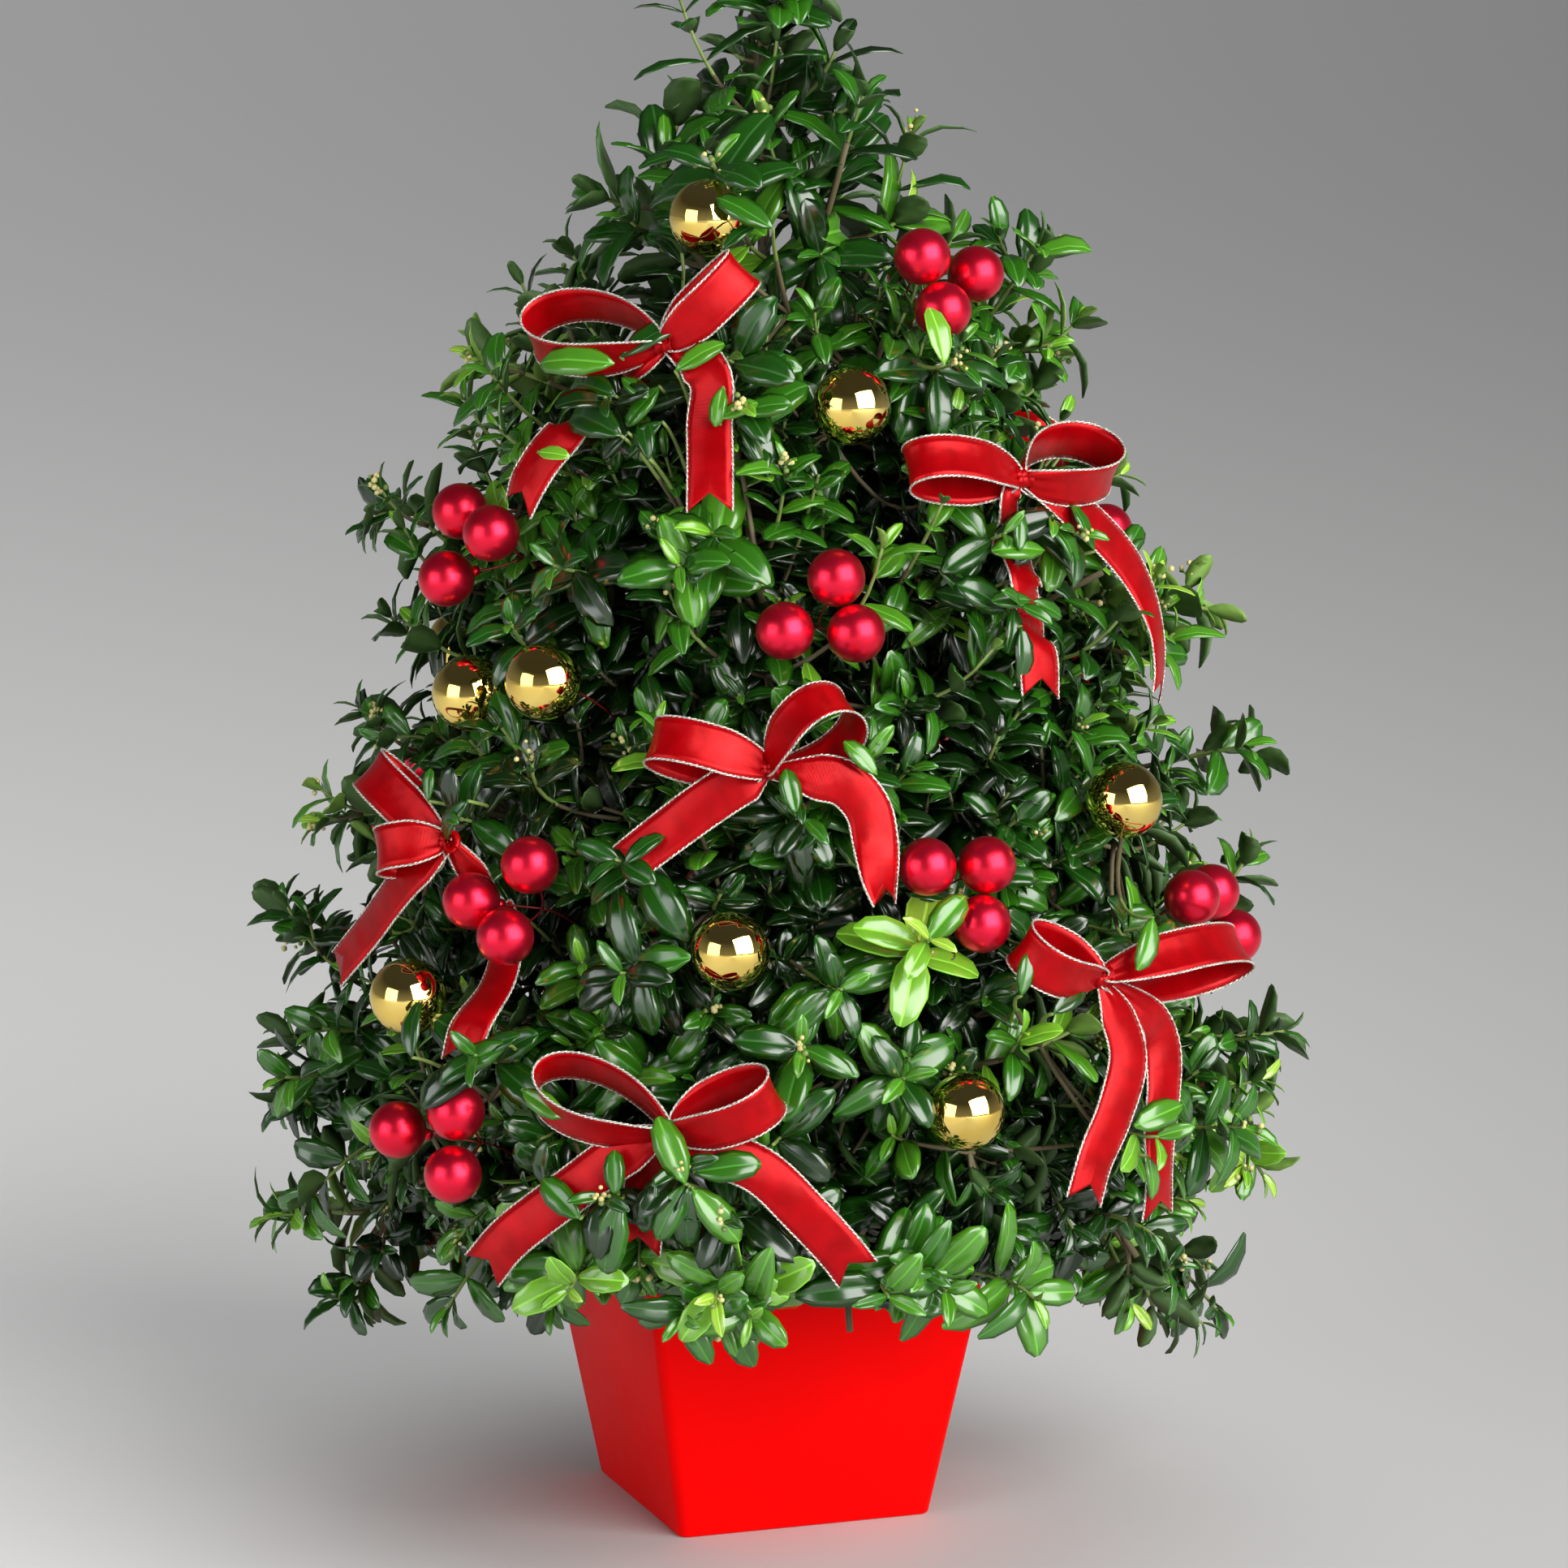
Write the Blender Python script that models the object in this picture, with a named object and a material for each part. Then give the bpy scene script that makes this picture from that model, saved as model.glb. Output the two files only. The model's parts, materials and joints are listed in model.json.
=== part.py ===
"""A cone-shaped boxwood tree, clipped loosely, standing in a square tapered pot.

Metres, +Z up. The origin is the centre of the pot's flat underside and the pot's sides run along X and Y.
Limbs leave a central trunk in tiers. Each limb is one curve: its inner part is a bough, and its outer part
is the stem of a mass of foliage. Twigs run from that stem to even spots on the skin of the crown, and every
mass keeps to the space that lies nearer to its own limb than to any other.
"""

import math
import random
from dataclasses import dataclass, field

import bmesh
import bpy
import numpy as np
from mathutils import Matrix, Vector
from mathutils.bvhtree import BVHTree

# Touching pieces keep this gap.
SEAT = 0.0003

# A tube's rings start turned to this way, which no limb runs along.
RING_SIDE = Vector((0.31, 0.17, 0.93))

# Pot
POT_HEIGHT = 0.130
POT_BASE_SIDE = 0.096
POT_RIM_SIDE = 0.140
POT_WALL = 0.004
POT_FLOOR = 0.006
POT_CORNER = 0.004
POT_FOOT_BEVEL = 0.0012
POT_SLOPE = (POT_RIM_SIDE - POT_BASE_SIDE) / 2 / POT_HEIGHT
SOIL_TOP = 0.118

# Trunk. It bows to one side and comes back, and the crown is measured round it.
TRUNK_FOOT = SOIL_TOP + SEAT
TRUNK_TIP = 0.500
TRUNK_BOW = 0.006
TRUNK_BOW_AZIMUTH = math.radians(-19.5)
TRUNK_RADIUS = 0.0062
TRUNK_TIP_RADIUS = 0.0019
FLARE_RADIUS = 0.0050
FLARE_HEIGHT = 0.014
RING_CROWDING = 1.6
TRUNK_RINGS = 14
TRUNK_SIDES = 8

# Crown: a cone that swells like a flame, above a skirt that droops round the pot's rim.
CROWN_TIP = 0.557
WIDEST_HEIGHT = 0.150
WIDEST_RADIUS = 0.184
CONE_POWER = 0.50
SKIRT_CENTRE_RADIUS = 0.105
SKIRT_DROP = 0.092
SKIRT_TUCK = math.radians(95)
SKIN_STEPS = 400
GOLDEN_ANGLE = math.pi * (3 - math.sqrt(5))

# Limbs
FOOT_STAGGER = 0.005
LIMB_WANDER = 0.007
LIMB_STEPS = 60
STEM_STEPS = 8
BOUGH_RADIUS = 0.0026
STEM_RADIUS = 0.0015
STEM_TIP_RADIUS = 0.0012
BOUGH_SIDES = 6
BOUGH_RINGS = 4
STEM_SIDES = 4
STEM_RINGS = 4
LEADER_TIP = (-0.002, 0.006, 0.532)
LEADER_BEND = 0.020

# Long shoots that stand out of the skin: azimuth in degrees, height and radius of their tips.
LONG_SHOOTS = (
    (-19, 0.330, 0.178), (-12, 0.278, 0.192), (-24, 0.245, 0.190), (-19, 0.176, 0.204), (-27, 0.128, 0.196),
    (-15, 0.068, 0.182), (-30, 0.048, 0.158), (-19, 0.462, 0.112), (-14, 0.425, 0.118),
    (161, 0.371, 0.144), (156, 0.292, 0.148), (164, 0.256, 0.164), (160, 0.222, 0.186), (166, 0.152, 0.188),
    (158, 0.112, 0.185), (163, 0.072, 0.158), (150, 0.047, 0.118), (161, 0.420, 0.116),
    (70, 0.300, 0.162), (110, 0.190, 0.196), (60, 0.110, 0.192), (95, 0.400, 0.120),
    (-110, 0.150, 0.192), (-70, 0.205, 0.186), (-95, 0.300, 0.162), (-130, 0.100, 0.182),
    (-20, 0.553, 0.027), (108, 0.556, 0.008),
)

SHOOT_RISE = 0.25

# Twigs and leaves. The leaves are larger than life, because each stands for several.
TWIG_COUNT = 82
TWIG_SIDES = 3
TWIG_RINGS = 3
TWIG_RADIUS = 0.0015
TWIG_TIP_RADIUS = 0.0012
TWIG_BACK_OFF = 0.55
TWIG_SHORT_OF_SKIN = 0.027
TWIG_FORWARD = 0.30
TWIG_STRAIGHT = 0.25
TWIG_DRESSED = 0.8
TWIG_ROOT = 0.006
LEAF_LENGTH = 0.041
LEAF_WIDTH = 0.0210
LEAF_THICKNESS = 0.0011
LEAF_FOLD = 0.0016
LEAF_ARCH = 0.0035
LEAF_WIDEST = 0.45
LEAF_SINK = 0.0002
LEAF_LEAN = math.radians(66)
LEAF_TIP_LEAN = math.radians(44)
LEAF_DROOP = 0.15
LEAF_FACE_UP = 0.7
LEAF_PAIRS = 2
PAIR_SPACING = 0.018
LEAF_SIZES = (1.0, 0.86, 0.72)
FREE_FROM = 0.12
SIZE_SPREAD = 0.12
SPOT_SPREAD = 0.006
TANGENT_SHARE = 0.1
SEED = 7

# Cores: a low, solid body of shade inside each mass.
CORE_SIDES = 6
CORE_SHARES = (0.26, 0.56, 0.88)
CORE_RADIUS = 0.046
CORE_STEP = 0.002
CORE_DEPTH = 0.027
CORE_LEAST = 0.003
CORE_ROOM = 0.003
CORE_SIZES = (1.0, 0.9, 0.8, 0.7, 0.6, 0.5)

# What a twig or a leaf keeps from the edge of its space, from limbs and from the pot.
SPACE_MARGIN = 0.0010
LIMB_CLEARANCE = 0.0008
POT_CLEARANCE = 0.0020
LOWEST_LEAF = 0.036
HIGHEST_LEAF = 0.560


@dataclass(frozen=True)
class Tier:
    """One tier of limbs. Elbow and tip are each a radius and a height; bough is a share of the limb."""

    name: str
    count: int
    turn: float
    foot: float
    elbow: tuple
    tip: tuple
    bough: float = 0.0


TIERS = (
    Tier("skirt", 7, turn=8, foot=0.150, elbow=(0.100, 0.168), tip=(0.150, 0.100), bough=0.44),
    Tier("lower", 6, turn=36, foot=0.187, elbow=(0.090, 0.200), tip=(0.158, 0.172), bough=0.42),
    Tier("middle", 6, turn=5, foot=0.238, elbow=(0.075, 0.250), tip=(0.142, 0.262), bough=0.36),
    Tier("upper", 5, turn=32, foot=0.298, elbow=(0.055, 0.308), tip=(0.116, 0.347)),
    Tier("shoulder", 4, turn=10, foot=0.362, elbow=(0.042, 0.375), tip=(0.086, 0.428)),
    Tier("top", 3, turn=50, foot=0.428, elbow=(0.026, 0.446), tip=(0.046, 0.494)),
)


@dataclass
class Limb:
    """One limb: its name, its curve and the share of it that is a bough."""

    name: str
    curve: list
    bough: float

    def stem_start(self):
        """The share of the curve where the stem starts, just clear of the bough."""
        length = sum((b - a).length for a, b in zip(self.curve, self.curve[1:]))
        return self.bough + SEAT / length if self.bough else 0.0


@dataclass
class Mass:
    """What a mass is made of so far: its pieces' collection, and search trees of the shapes that show."""

    index: int
    group: bpy.types.Collection
    spaces: object
    leaf: bpy.types.Mesh
    trees: list = field(default_factory=list)


def clear_scene():
    """Removes every object, so that the scene holds this tree alone."""
    for obj in list(bpy.data.objects):
        bpy.data.objects.remove(obj)


def material(name, colour, roughness, metallic=0.0):
    """A Principled material of one colour."""
    made = bpy.data.materials.new(name)
    made.use_nodes = True
    shader = made.node_tree.nodes["Principled BSDF"]
    shader.inputs["Base Color"].default_value = (*colour, 1.0)
    shader.inputs["Roughness"].default_value = roughness
    shader.inputs["Metallic"].default_value = metallic
    return made


def new_object(name, bm, look=None, collection=None):
    """Links a bmesh to the scene as a named object."""
    mesh = bpy.data.meshes.new(name)
    bm.to_mesh(mesh)
    bm.free()
    if look:
        mesh.materials.append(look)
    obj = bpy.data.objects.new(name, mesh)
    (collection or bpy.context.scene.collection).objects.link(obj)
    return obj


# ---------------------------------------------------------------- pot and soil


def pot_half_side(height):
    """Half the pot's outer side at a height."""
    return POT_BASE_SIDE / 2 + POT_SLOPE * height


def tapered_block(bm, low, high, inset, corner):
    """A square block that follows the pot's slope, inset from its outer side, with rounded corners."""
    for vert in bmesh.ops.create_cube(bm, size=1)["verts"]:
        height = high if vert.co.z > 0 else low
        half = pot_half_side(height) - inset
        vert.co = Vector((math.copysign(half, vert.co.x), math.copysign(half, vert.co.y), height))
    corners = [e for e in bm.edges if abs(e.verts[0].co.z - e.verts[1].co.z) > (high - low) / 2]
    bmesh.ops.bevel(bm, geom=corners, offset=corner, segments=3, profile=0.5, affect="EDGES")


def build_pot(look):
    """The pot: a tapered square cup with rounded corners and a flat underside."""
    bm = bmesh.new()
    tapered_block(bm, 0, POT_HEIGHT, 0, POT_CORNER)
    foot = [e for e in bm.edges if all(v.co.z < SEAT for v in e.verts)]
    bmesh.ops.bevel(bm, geom=foot, offset=POT_FOOT_BEVEL, segments=1, profile=0.5, affect="EDGES")
    bm.normal_update()
    mouth = max(bm.faces, key=lambda face: face.calc_center_median().z)
    bmesh.ops.inset_region(bm, faces=[mouth], thickness=POT_WALL, use_even_offset=True)
    grown = bmesh.ops.extrude_face_region(bm, geom=[mouth])["geom"]
    shrink = (pot_half_side(POT_FLOOR) - POT_WALL) / (POT_RIM_SIDE / 2 - POT_WALL)
    for vert in (v for v in grown if isinstance(v, bmesh.types.BMVert)):
        vert.co = Vector((vert.co.x * shrink, vert.co.y * shrink, POT_FLOOR))
    bmesh.ops.delete(bm, geom=[mouth], context="FACES_ONLY")
    bmesh.ops.recalc_face_normals(bm, faces=bm.faces)
    return new_object("pot", bm, look)


def build_soil(look):
    """The soil: a plug that fills the pot to just under its rim."""
    bm = bmesh.new()
    tapered_block(bm, POT_FLOOR + SEAT, SOIL_TOP, POT_WALL + SEAT, POT_CORNER)
    bmesh.ops.recalc_face_normals(bm, faces=bm.faces)
    return new_object("potting_soil", bm, look)


# ---------------------------------------------------------------- tubes and curves


def tangents(points):
    """Unit directions along a row of points."""
    last = len(points) - 1
    return [(points[min(i + 1, last)] - points[max(i - 1, 0)]).normalized() for i in range(last + 1)]


def bezier(start, control, end, steps):
    """Points along a curve from start to end that leaves towards the control point."""
    shares = [i / steps for i in range(steps + 1)]
    return [start * (1 - t) ** 2 + control * (2 * t * (1 - t)) + end * t ** 2 for t in shares]


def at_share(points, share):
    """The point at a share of the way along a row of evenly spaced points."""
    place = share * (len(points) - 1)
    low = min(int(place), len(points) - 2)
    return points[low].lerp(points[low + 1], place - low)


def stretch(points, start, end, count):
    """A number of points, evenly spaced between two shares of a row."""
    return [at_share(points, start + (end - start) * i / (count - 1)) for i in range(count)]


def ring_frames(points):
    """Each point of a row with two unit vectors square to the row there, carried along without twisting."""
    side = RING_SIDE
    for point, tangent in zip(points, tangents(points)):
        side = (side - tangent * side.dot(tangent)).normalized()
        yield point, side, tangent.cross(side)


def tube(points, radii, sides):
    """A closed tube grown ring by ring; each ring's radius is a number, or one number for each side."""
    bm = bmesh.new()
    ring = bmesh.ops.create_circle(bm, cap_ends=True, segments=sides, radius=1)["verts"]
    cap = bm.faces[:][0]
    for step, ((point, side, up), radius) in enumerate(zip(ring_frames(points), radii)):
        if step:
            old = cap
            grown = bmesh.ops.extrude_face_region(bm, geom=[old])["geom"]
            cap = next(f for f in grown if isinstance(f, bmesh.types.BMFace))
            if step > 1:
                bmesh.ops.delete(bm, geom=[old], context="FACES_ONLY")
            ring = [next(e.other_vert(v) for e in v.link_edges if e.other_vert(v) in cap.verts) for v in ring]
        for index, vert in enumerate(ring):
            turn = 2 * math.pi * index / sides
            reach = radius[index] if isinstance(radius, list) else radius
            vert.co = point + (side * math.cos(turn) + up * math.sin(turn)) * reach
    bmesh.ops.recalc_face_normals(bm, faces=bm.faces)
    return bm


def taper(start, end, count):
    """Radii that shrink evenly from start to end."""
    return [start + (end - start) * i / (count - 1) for i in range(count)]


# ---------------------------------------------------------------- trunk and limbs


def polar(azimuth, radius, height):
    """A point from its azimuth in radians, its radius and its height."""
    return Vector((math.cos(azimuth) * radius, math.sin(azimuth) * radius, height))


def trunk_share(height):
    """How far up the trunk a height is, from 0 at its foot to 1 at its tip and beyond."""
    return min(max((height - TRUNK_FOOT) / (TRUNK_TIP - TRUNK_FOOT), 0.0), 1.0)


def round_trunk(azimuth, radius, height):
    """A point from its azimuth, its radius from the trunk's axis and its height."""
    bow = TRUNK_BOW * (1 - math.cos(2 * math.pi * trunk_share(height))) / 2
    return polar(TRUNK_BOW_AZIMUTH, bow, 0) + polar(azimuth, radius, height)


def trunk_radius(height):
    """The trunk's radius at a height, with its flare at the soil."""
    flare = FLARE_RADIUS * math.exp(-(height - TRUNK_FOOT) / FLARE_HEIGHT)
    return TRUNK_RADIUS + (TRUNK_TIP_RADIUS - TRUNK_RADIUS) * trunk_share(height) + flare


def build_trunk(look):
    """The trunk: rings lie closer together in the flare."""
    shares = [(i / (TRUNK_RINGS - 1)) ** RING_CROWDING for i in range(TRUNK_RINGS)]
    heights = [TRUNK_FOOT + (TRUNK_TIP - TRUNK_FOOT) * share for share in shares]
    points = [round_trunk(0, 0, height) for height in heights]
    return new_object("trunk", tube(points, [trunk_radius(h) for h in heights], TRUNK_SIDES), look)


def limb_curve(tier, azimuth, rng):
    """One limb's curve, from the trunk's bark to its tip."""
    foot_height = tier.foot + rng.uniform(-FOOT_STAGGER, FOOT_STAGGER)
    foot_radius = BOUGH_RADIUS if tier.bough else STEM_RADIUS
    rise = (tier.elbow[1] - foot_height) / tier.elbow[0]
    start = round_trunk(azimuth, trunk_radius(foot_height) + SEAT + foot_radius * abs(rise), foot_height)
    wander = Vector([rng.uniform(-LIMB_WANDER, LIMB_WANDER) for _ in range(3)])
    tip = round_trunk(azimuth, *tier.tip) + wander
    return bezier(start, round_trunk(azimuth, *tier.elbow), tip, LIMB_STEPS)


def grow_limbs(rng):
    """Every limb of every tier, and the leader that goes on from the trunk's tip."""
    limbs = []
    for tier in TIERS:
        for index in range(tier.count):
            azimuth = math.radians(tier.turn) + 2 * math.pi * index / tier.count
            limbs.append(Limb(f"{tier.name}_{index + 1}", limb_curve(tier, azimuth, rng), tier.bough))
    foot = round_trunk(0, 0, TRUNK_TIP + SEAT)
    leader = bezier(foot, foot + Vector((0, 0, LEADER_BEND)), Vector(LEADER_TIP), LIMB_STEPS)
    return [*limbs, Limb("leader", leader, 0.0)]


def build_bough(limb, look):
    """The inner part of a limb."""
    points = stretch(limb.curve, 0, limb.bough, BOUGH_RINGS)
    radii = taper(BOUGH_RADIUS, STEM_RADIUS, BOUGH_RINGS)
    return new_object(f"bough_{limb.name}", tube(points, radii, BOUGH_SIDES), look)


# ---------------------------------------------------------------- the crown's skin


def skin_profile():
    """The skin's outline as radii and heights, from the crown's tip down and round under the skirt."""
    steps = np.linspace(0, 1, SKIN_STEPS)
    cone_height = CROWN_TIP - (CROWN_TIP - WIDEST_HEIGHT) * steps
    cone_radius = WIDEST_RADIUS * steps ** CONE_POWER
    angle = SKIRT_TUCK * steps[1:]
    skirt_radius = SKIRT_CENTRE_RADIUS + (WIDEST_RADIUS - SKIRT_CENTRE_RADIUS) * np.cos(angle)
    skirt_height = WIDEST_HEIGHT - SKIRT_DROP * np.sin(angle)
    return np.concatenate([cone_radius, skirt_radius]), np.concatenate([cone_height, skirt_height])


def skin_spots(count, rng):
    """Spots spread evenly over the skin on a spiral, each with the direction that faces out there."""
    radius, height = skin_profile()
    run, fall = np.diff(radius), np.diff(height)
    length = np.hypot(run, fall)
    area = np.concatenate([[0], np.cumsum(length * (radius[1:] + radius[:-1]))])
    spots = []
    for index in range(count):
        place = np.interp((index + 0.5) / count * area[-1], area, np.arange(len(area)))
        low = min(int(place), len(run) - 1)
        azimuth = index * GOLDEN_ANGLE
        beyond = place - low
        spot = round_trunk(azimuth, radius[low] + run[low] * beyond, height[low] + fall[low] * beyond)
        outward = polar(azimuth, -fall[low] / length[low], run[low] / length[low])
        spread = Vector([rng.uniform(-SPOT_SPREAD, SPOT_SPREAD) for _ in range(3)])
        spots.append((spot + spread, outward))
    return spots


def long_shoot_spots():
    """The tips of the long shoots, each with the direction that it points in."""
    spots = []
    for degrees, height, radius in LONG_SHOOTS:
        azimuth = math.radians(degrees)
        spots.append((polar(azimuth, radius, height), polar(azimuth, 1, SHOOT_RISE).normalized()))
    return spots


# ---------------------------------------------------------------- spaces


class Spaces:
    """Says which limb a point is nearest to, and whether a mass may reach it."""

    def __init__(self, limbs, solids):
        self.solids = solids
        trunk = [round_trunk(0, 0, height) for height in np.linspace(TRUNK_FOOT, TRUNK_TIP, 2 * LIMB_STEPS)]
        rows = [limb.curve for limb in limbs] + [trunk]
        lengths = [len(row) for row in rows]
        self.points = np.array([point for row in rows for point in row])
        self.starts = np.concatenate([[0], np.cumsum(lengths)[:-1]])
        bark = [(point, trunk_radius(point.z)) for point in trunk]
        for limb in limbs:
            if limb.bough:
                bark += [(point, BOUGH_RADIUS) for point in stretch(limb.curve, 0, limb.bough, LIMB_STEPS)]
        self.bark = np.array([point for point, _ in bark])
        self.bark_radius = np.array([radius for _, radius in bark])

    def distances(self, point):
        """The distance from a point to each limb, with the trunk's last."""
        return np.minimum.reduceat(np.linalg.norm(self.points - np.array(point), axis=1), self.starts)

    def nearest_limb(self, point):
        """The limb that a point is nearest to, leaving out the trunk."""
        return int(np.argmin(self.distances(point)[:-1]))

    def allows(self, point, limb, room=0.0):
        """Whether a limb's mass may reach a point: in its own space, and clear of bark and of the pot."""
        if not LOWEST_LEAF < point[2] < HIGHEST_LEAF:
            return False
        distances = self.distances(point)
        own = distances[limb]
        distances[limb] = np.inf
        if distances.min() - own < 2 * (SPACE_MARGIN + room):
            return False
        to_bark = np.linalg.norm(self.bark - np.array(point), axis=1) - self.bark_radius
        if to_bark.min() < LIMB_CLEARANCE + room:
            return False
        over_rim = point[2] > POT_HEIGHT + POT_CLEARANCE + room
        return over_rim or max(abs(point[0]), abs(point[1])) > pot_half_side(point[2]) + POT_CLEARANCE + room

    def allows_shape(self, points, tree, limb):
        """Whether a limb's mass may reach all these points, with a shape clear of pot, trunk and boughs."""
        return all(self.allows(point, limb) for point in points) and not any(map(tree.overlap, self.solids))


# ---------------------------------------------------------------- masses of foliage


def tree_of(obj):
    """A search tree of an object's faces."""
    bm = bmesh.new()
    bm.from_mesh(obj.data)
    tree = BVHTree.FromBMesh(bm)
    bm.free()
    return tree


def leaf_mesh():
    """A leaf of eight faces along +Y, its upper side to +Z: arched lengthwise, folded along its rib."""
    bm = bmesh.new()
    base_at_zero = Matrix.Translation((0, 0, 0.5))
    bmesh.ops.create_cone(bm, cap_ends=False, segments=4, radius1=1, radius2=0, depth=1, matrix=base_at_zero)
    bmesh.ops.mirror(bm, geom=bm.verts[:] + bm.edges[:] + bm.faces[:], axis="Z", merge_dist=0.001)
    middle = LEAF_LENGTH * LEAF_WIDEST
    for vert in bm.verts:
        across, along, up = vert.co
        if abs(up) > 0.5:
            vert.co = Vector((0, middle, LEAF_FOLD + math.copysign(LEAF_THICKNESS / 2, up)))
        elif abs(across) > 0.5:
            vert.co = Vector((math.copysign(LEAF_WIDTH / 2, across), middle, 0))
        else:
            vert.co = Vector((0, LEAF_LENGTH if along > 0 else -LEAF_SINK, -LEAF_ARCH if along > 0 else 0))
    bmesh.ops.recalc_face_normals(bm, faces=bm.faces)
    mesh = bpy.data.meshes.new("leaf")
    bm.to_mesh(mesh)
    bm.free()
    return mesh


def leaf_matrix(place, direction, faces, size):
    """Where a leaf lies: its foot, the way it points, the way its upper side faces, and its size."""
    along = direction.normalized()
    across = along.cross(faces).normalized()
    turn = Matrix((across, along, across.cross(along))).transposed().to_4x4()
    return Matrix.Translation(place) @ turn @ Matrix.Scale(size, 4)


def free_leaf(mesh, matrix):
    """A leaf's corners, its foot drawn out of its twig, and the points that have to stay in its space."""
    corners = [matrix @ vert.co for vert in mesh.vertices]
    foot = min(range(len(corners)), key=lambda i: mesh.vertices[i].co.y)
    corners[foot] = corners[foot].lerp(matrix @ Vector((0, LEAF_LENGTH, 0)), FREE_FROM)
    middles = [corners[edge.vertices[0]].lerp(corners[edge.vertices[1]], 0.5) for edge in mesh.edges]
    return corners, corners + middles


def add_leaf(mass, place, direction, faces, rng):
    """Adds one leaf in the largest size that its space and its neighbours allow, or leaves it out."""
    spread = rng.uniform(1 - SIZE_SPREAD, 1 + SIZE_SPREAD)
    triangles = [tuple(face.vertices) for face in mass.leaf.polygons]
    for size in LEAF_SIZES:
        matrix = leaf_matrix(place, direction, faces, size * spread)
        corners, reach = free_leaf(mass.leaf, matrix)
        tree = BVHTree.FromPolygons(corners, triangles)
        if any(map(tree.overlap, mass.trees)) or not mass.spaces.allows_shape(reach, tree, mass.index):
            continue
        leaf = bpy.data.objects.new("leaf", mass.leaf)
        leaf.matrix_world = matrix
        mass.group.objects.link(leaf)
        mass.trees.append(tree)
        return True
    return False


def dress_twig(mass, points, rng):
    """Pairs of leaves back from a twig's tip, each a quarter turn from the last. Gives how many fitted."""
    length = sum((b - a).length for a, b in zip(points, points[1:]))
    roll = rng.uniform(0, math.pi)
    added = 0
    for pair in range(LEAF_PAIRS + 1):
        share = 1 - pair * PAIR_SPACING / length
        if share < 1 - TWIG_DRESSED:
            break
        place = at_share(points, share - 2 * TWIG_TIP_RADIUS / length)
        tangent = (at_share(points, share) - at_share(points, share - TANGENT_SHARE)).normalized()
        lean = LEAF_LEAN if pair else LEAF_TIP_LEAN
        side = tangent.orthogonal().normalized()
        side.rotate(Matrix.Rotation(roll + pair * math.pi / 2, 3, tangent))
        for way in (side, -side):
            direction = tangent * math.cos(lean) + way * math.sin(lean) - Vector((0, 0, LEAF_DROOP))
            added += add_leaf(mass, place, direction, tangent + Vector((0, 0, LEAF_FACE_UP)), rng)
    return added


def twig_points(limb, tip):
    """A twig's curve from a stem to its tip, leaving the stem further back than the point nearest it."""
    stem = stretch(limb.curve, limb.stem_start(), 1, LIMB_STEPS)
    nearest = min(range(len(stem)), key=lambda i: (stem[i] - tip).length)
    back_off = (stem[nearest] - tip).length * TWIG_BACK_OFF
    start = nearest
    while start > 1 and (stem[start] - stem[nearest]).length < back_off:
        start -= 1
    foot = stem[start]
    run = tip - foot
    control = foot + tangents(stem)[start] * run.length * TWIG_FORWARD + run * TWIG_STRAIGHT
    return bezier(foot, control, tip, STEM_STEPS)


def core_reach(point, way, index, spaces, skin):
    """How far a core may reach from a point: as far as its space and the skin's depth allow."""
    reach = CORE_LEAST
    while reach < CORE_RADIUS:
        spot = point + way * (reach + CORE_STEP)
        depth = np.linalg.norm(skin - [math.hypot(spot.x, spot.y), spot.z], axis=1).min()
        if depth < CORE_DEPTH or not spaces.allows(spot, index, CORE_ROOM):
            break
        reach += CORE_STEP
    return reach


def core_tube(limb, index, spaces):
    """The core round a limb's stem, drawn in until it clears the pot, the trunk and the boughs."""
    skin = np.column_stack(skin_profile())
    points = [at_share(limb.curve, limb.bough + (1 - limb.bough) * share) for share in CORE_SHARES]
    rings = []
    for point, side, up in ring_frames(points):
        turns = [2 * math.pi * corner / CORE_SIDES for corner in range(CORE_SIDES)]
        ways = [side * math.cos(turn) + up * math.sin(turn) for turn in turns]
        rings.append([core_reach(point, way, index, spaces, skin) for way in ways])
    for size in CORE_SIZES:
        core = tube(points, [[reach * size for reach in ring] for ring in rings], CORE_SIDES)
        if not any(map(BVHTree.FromBMesh(core).overlap, spaces.solids)):
            break
    return core


def largest_shell(mesh):
    """Keeps the largest closed shell of a mesh, which fills sealed hollows and drops loose scraps."""
    bm = bmesh.new()
    bm.from_mesh(mesh)
    left = set(bm.faces)
    shells = []
    while left:
        stack = [left.pop()]
        shell = set(stack)
        while stack:
            for edge in stack.pop().edges:
                for face in edge.link_faces:
                    if face in left:
                        left.discard(face)
                        shell.add(face)
                        stack.append(face)
        shells.append(shell)
    keep = max(shells, key=lambda faces: sum(face.calc_area() for face in faces))
    drop = [face for face in bm.faces if face not in keep]
    bmesh.ops.delete(bm, geom=drop, context="FACES")
    bm.to_mesh(mesh)
    bm.free()


def fuse(name, stem, group, look):
    """One Boolean union of a stem with all in a collection, applied. The collection is then removed."""
    union = stem.modifiers.new("fused", "BOOLEAN")
    union.operation = "UNION"
    union.operand_type = "COLLECTION"
    union.collection = group
    union.solver = "MANIFOLD"
    graph = bpy.context.evaluated_depsgraph_get()
    mesh = bpy.data.meshes.new_from_object(stem.evaluated_get(graph))
    largest_shell(mesh)
    mesh.name = name
    mesh.materials.clear()
    mesh.materials.append(look)
    obj = bpy.data.objects.new(name, mesh)
    bpy.context.scene.collection.objects.link(obj)
    for piece in [stem, *group.objects]:
        bpy.data.objects.remove(piece)
    bpy.data.collections.remove(group)
    return obj


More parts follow.
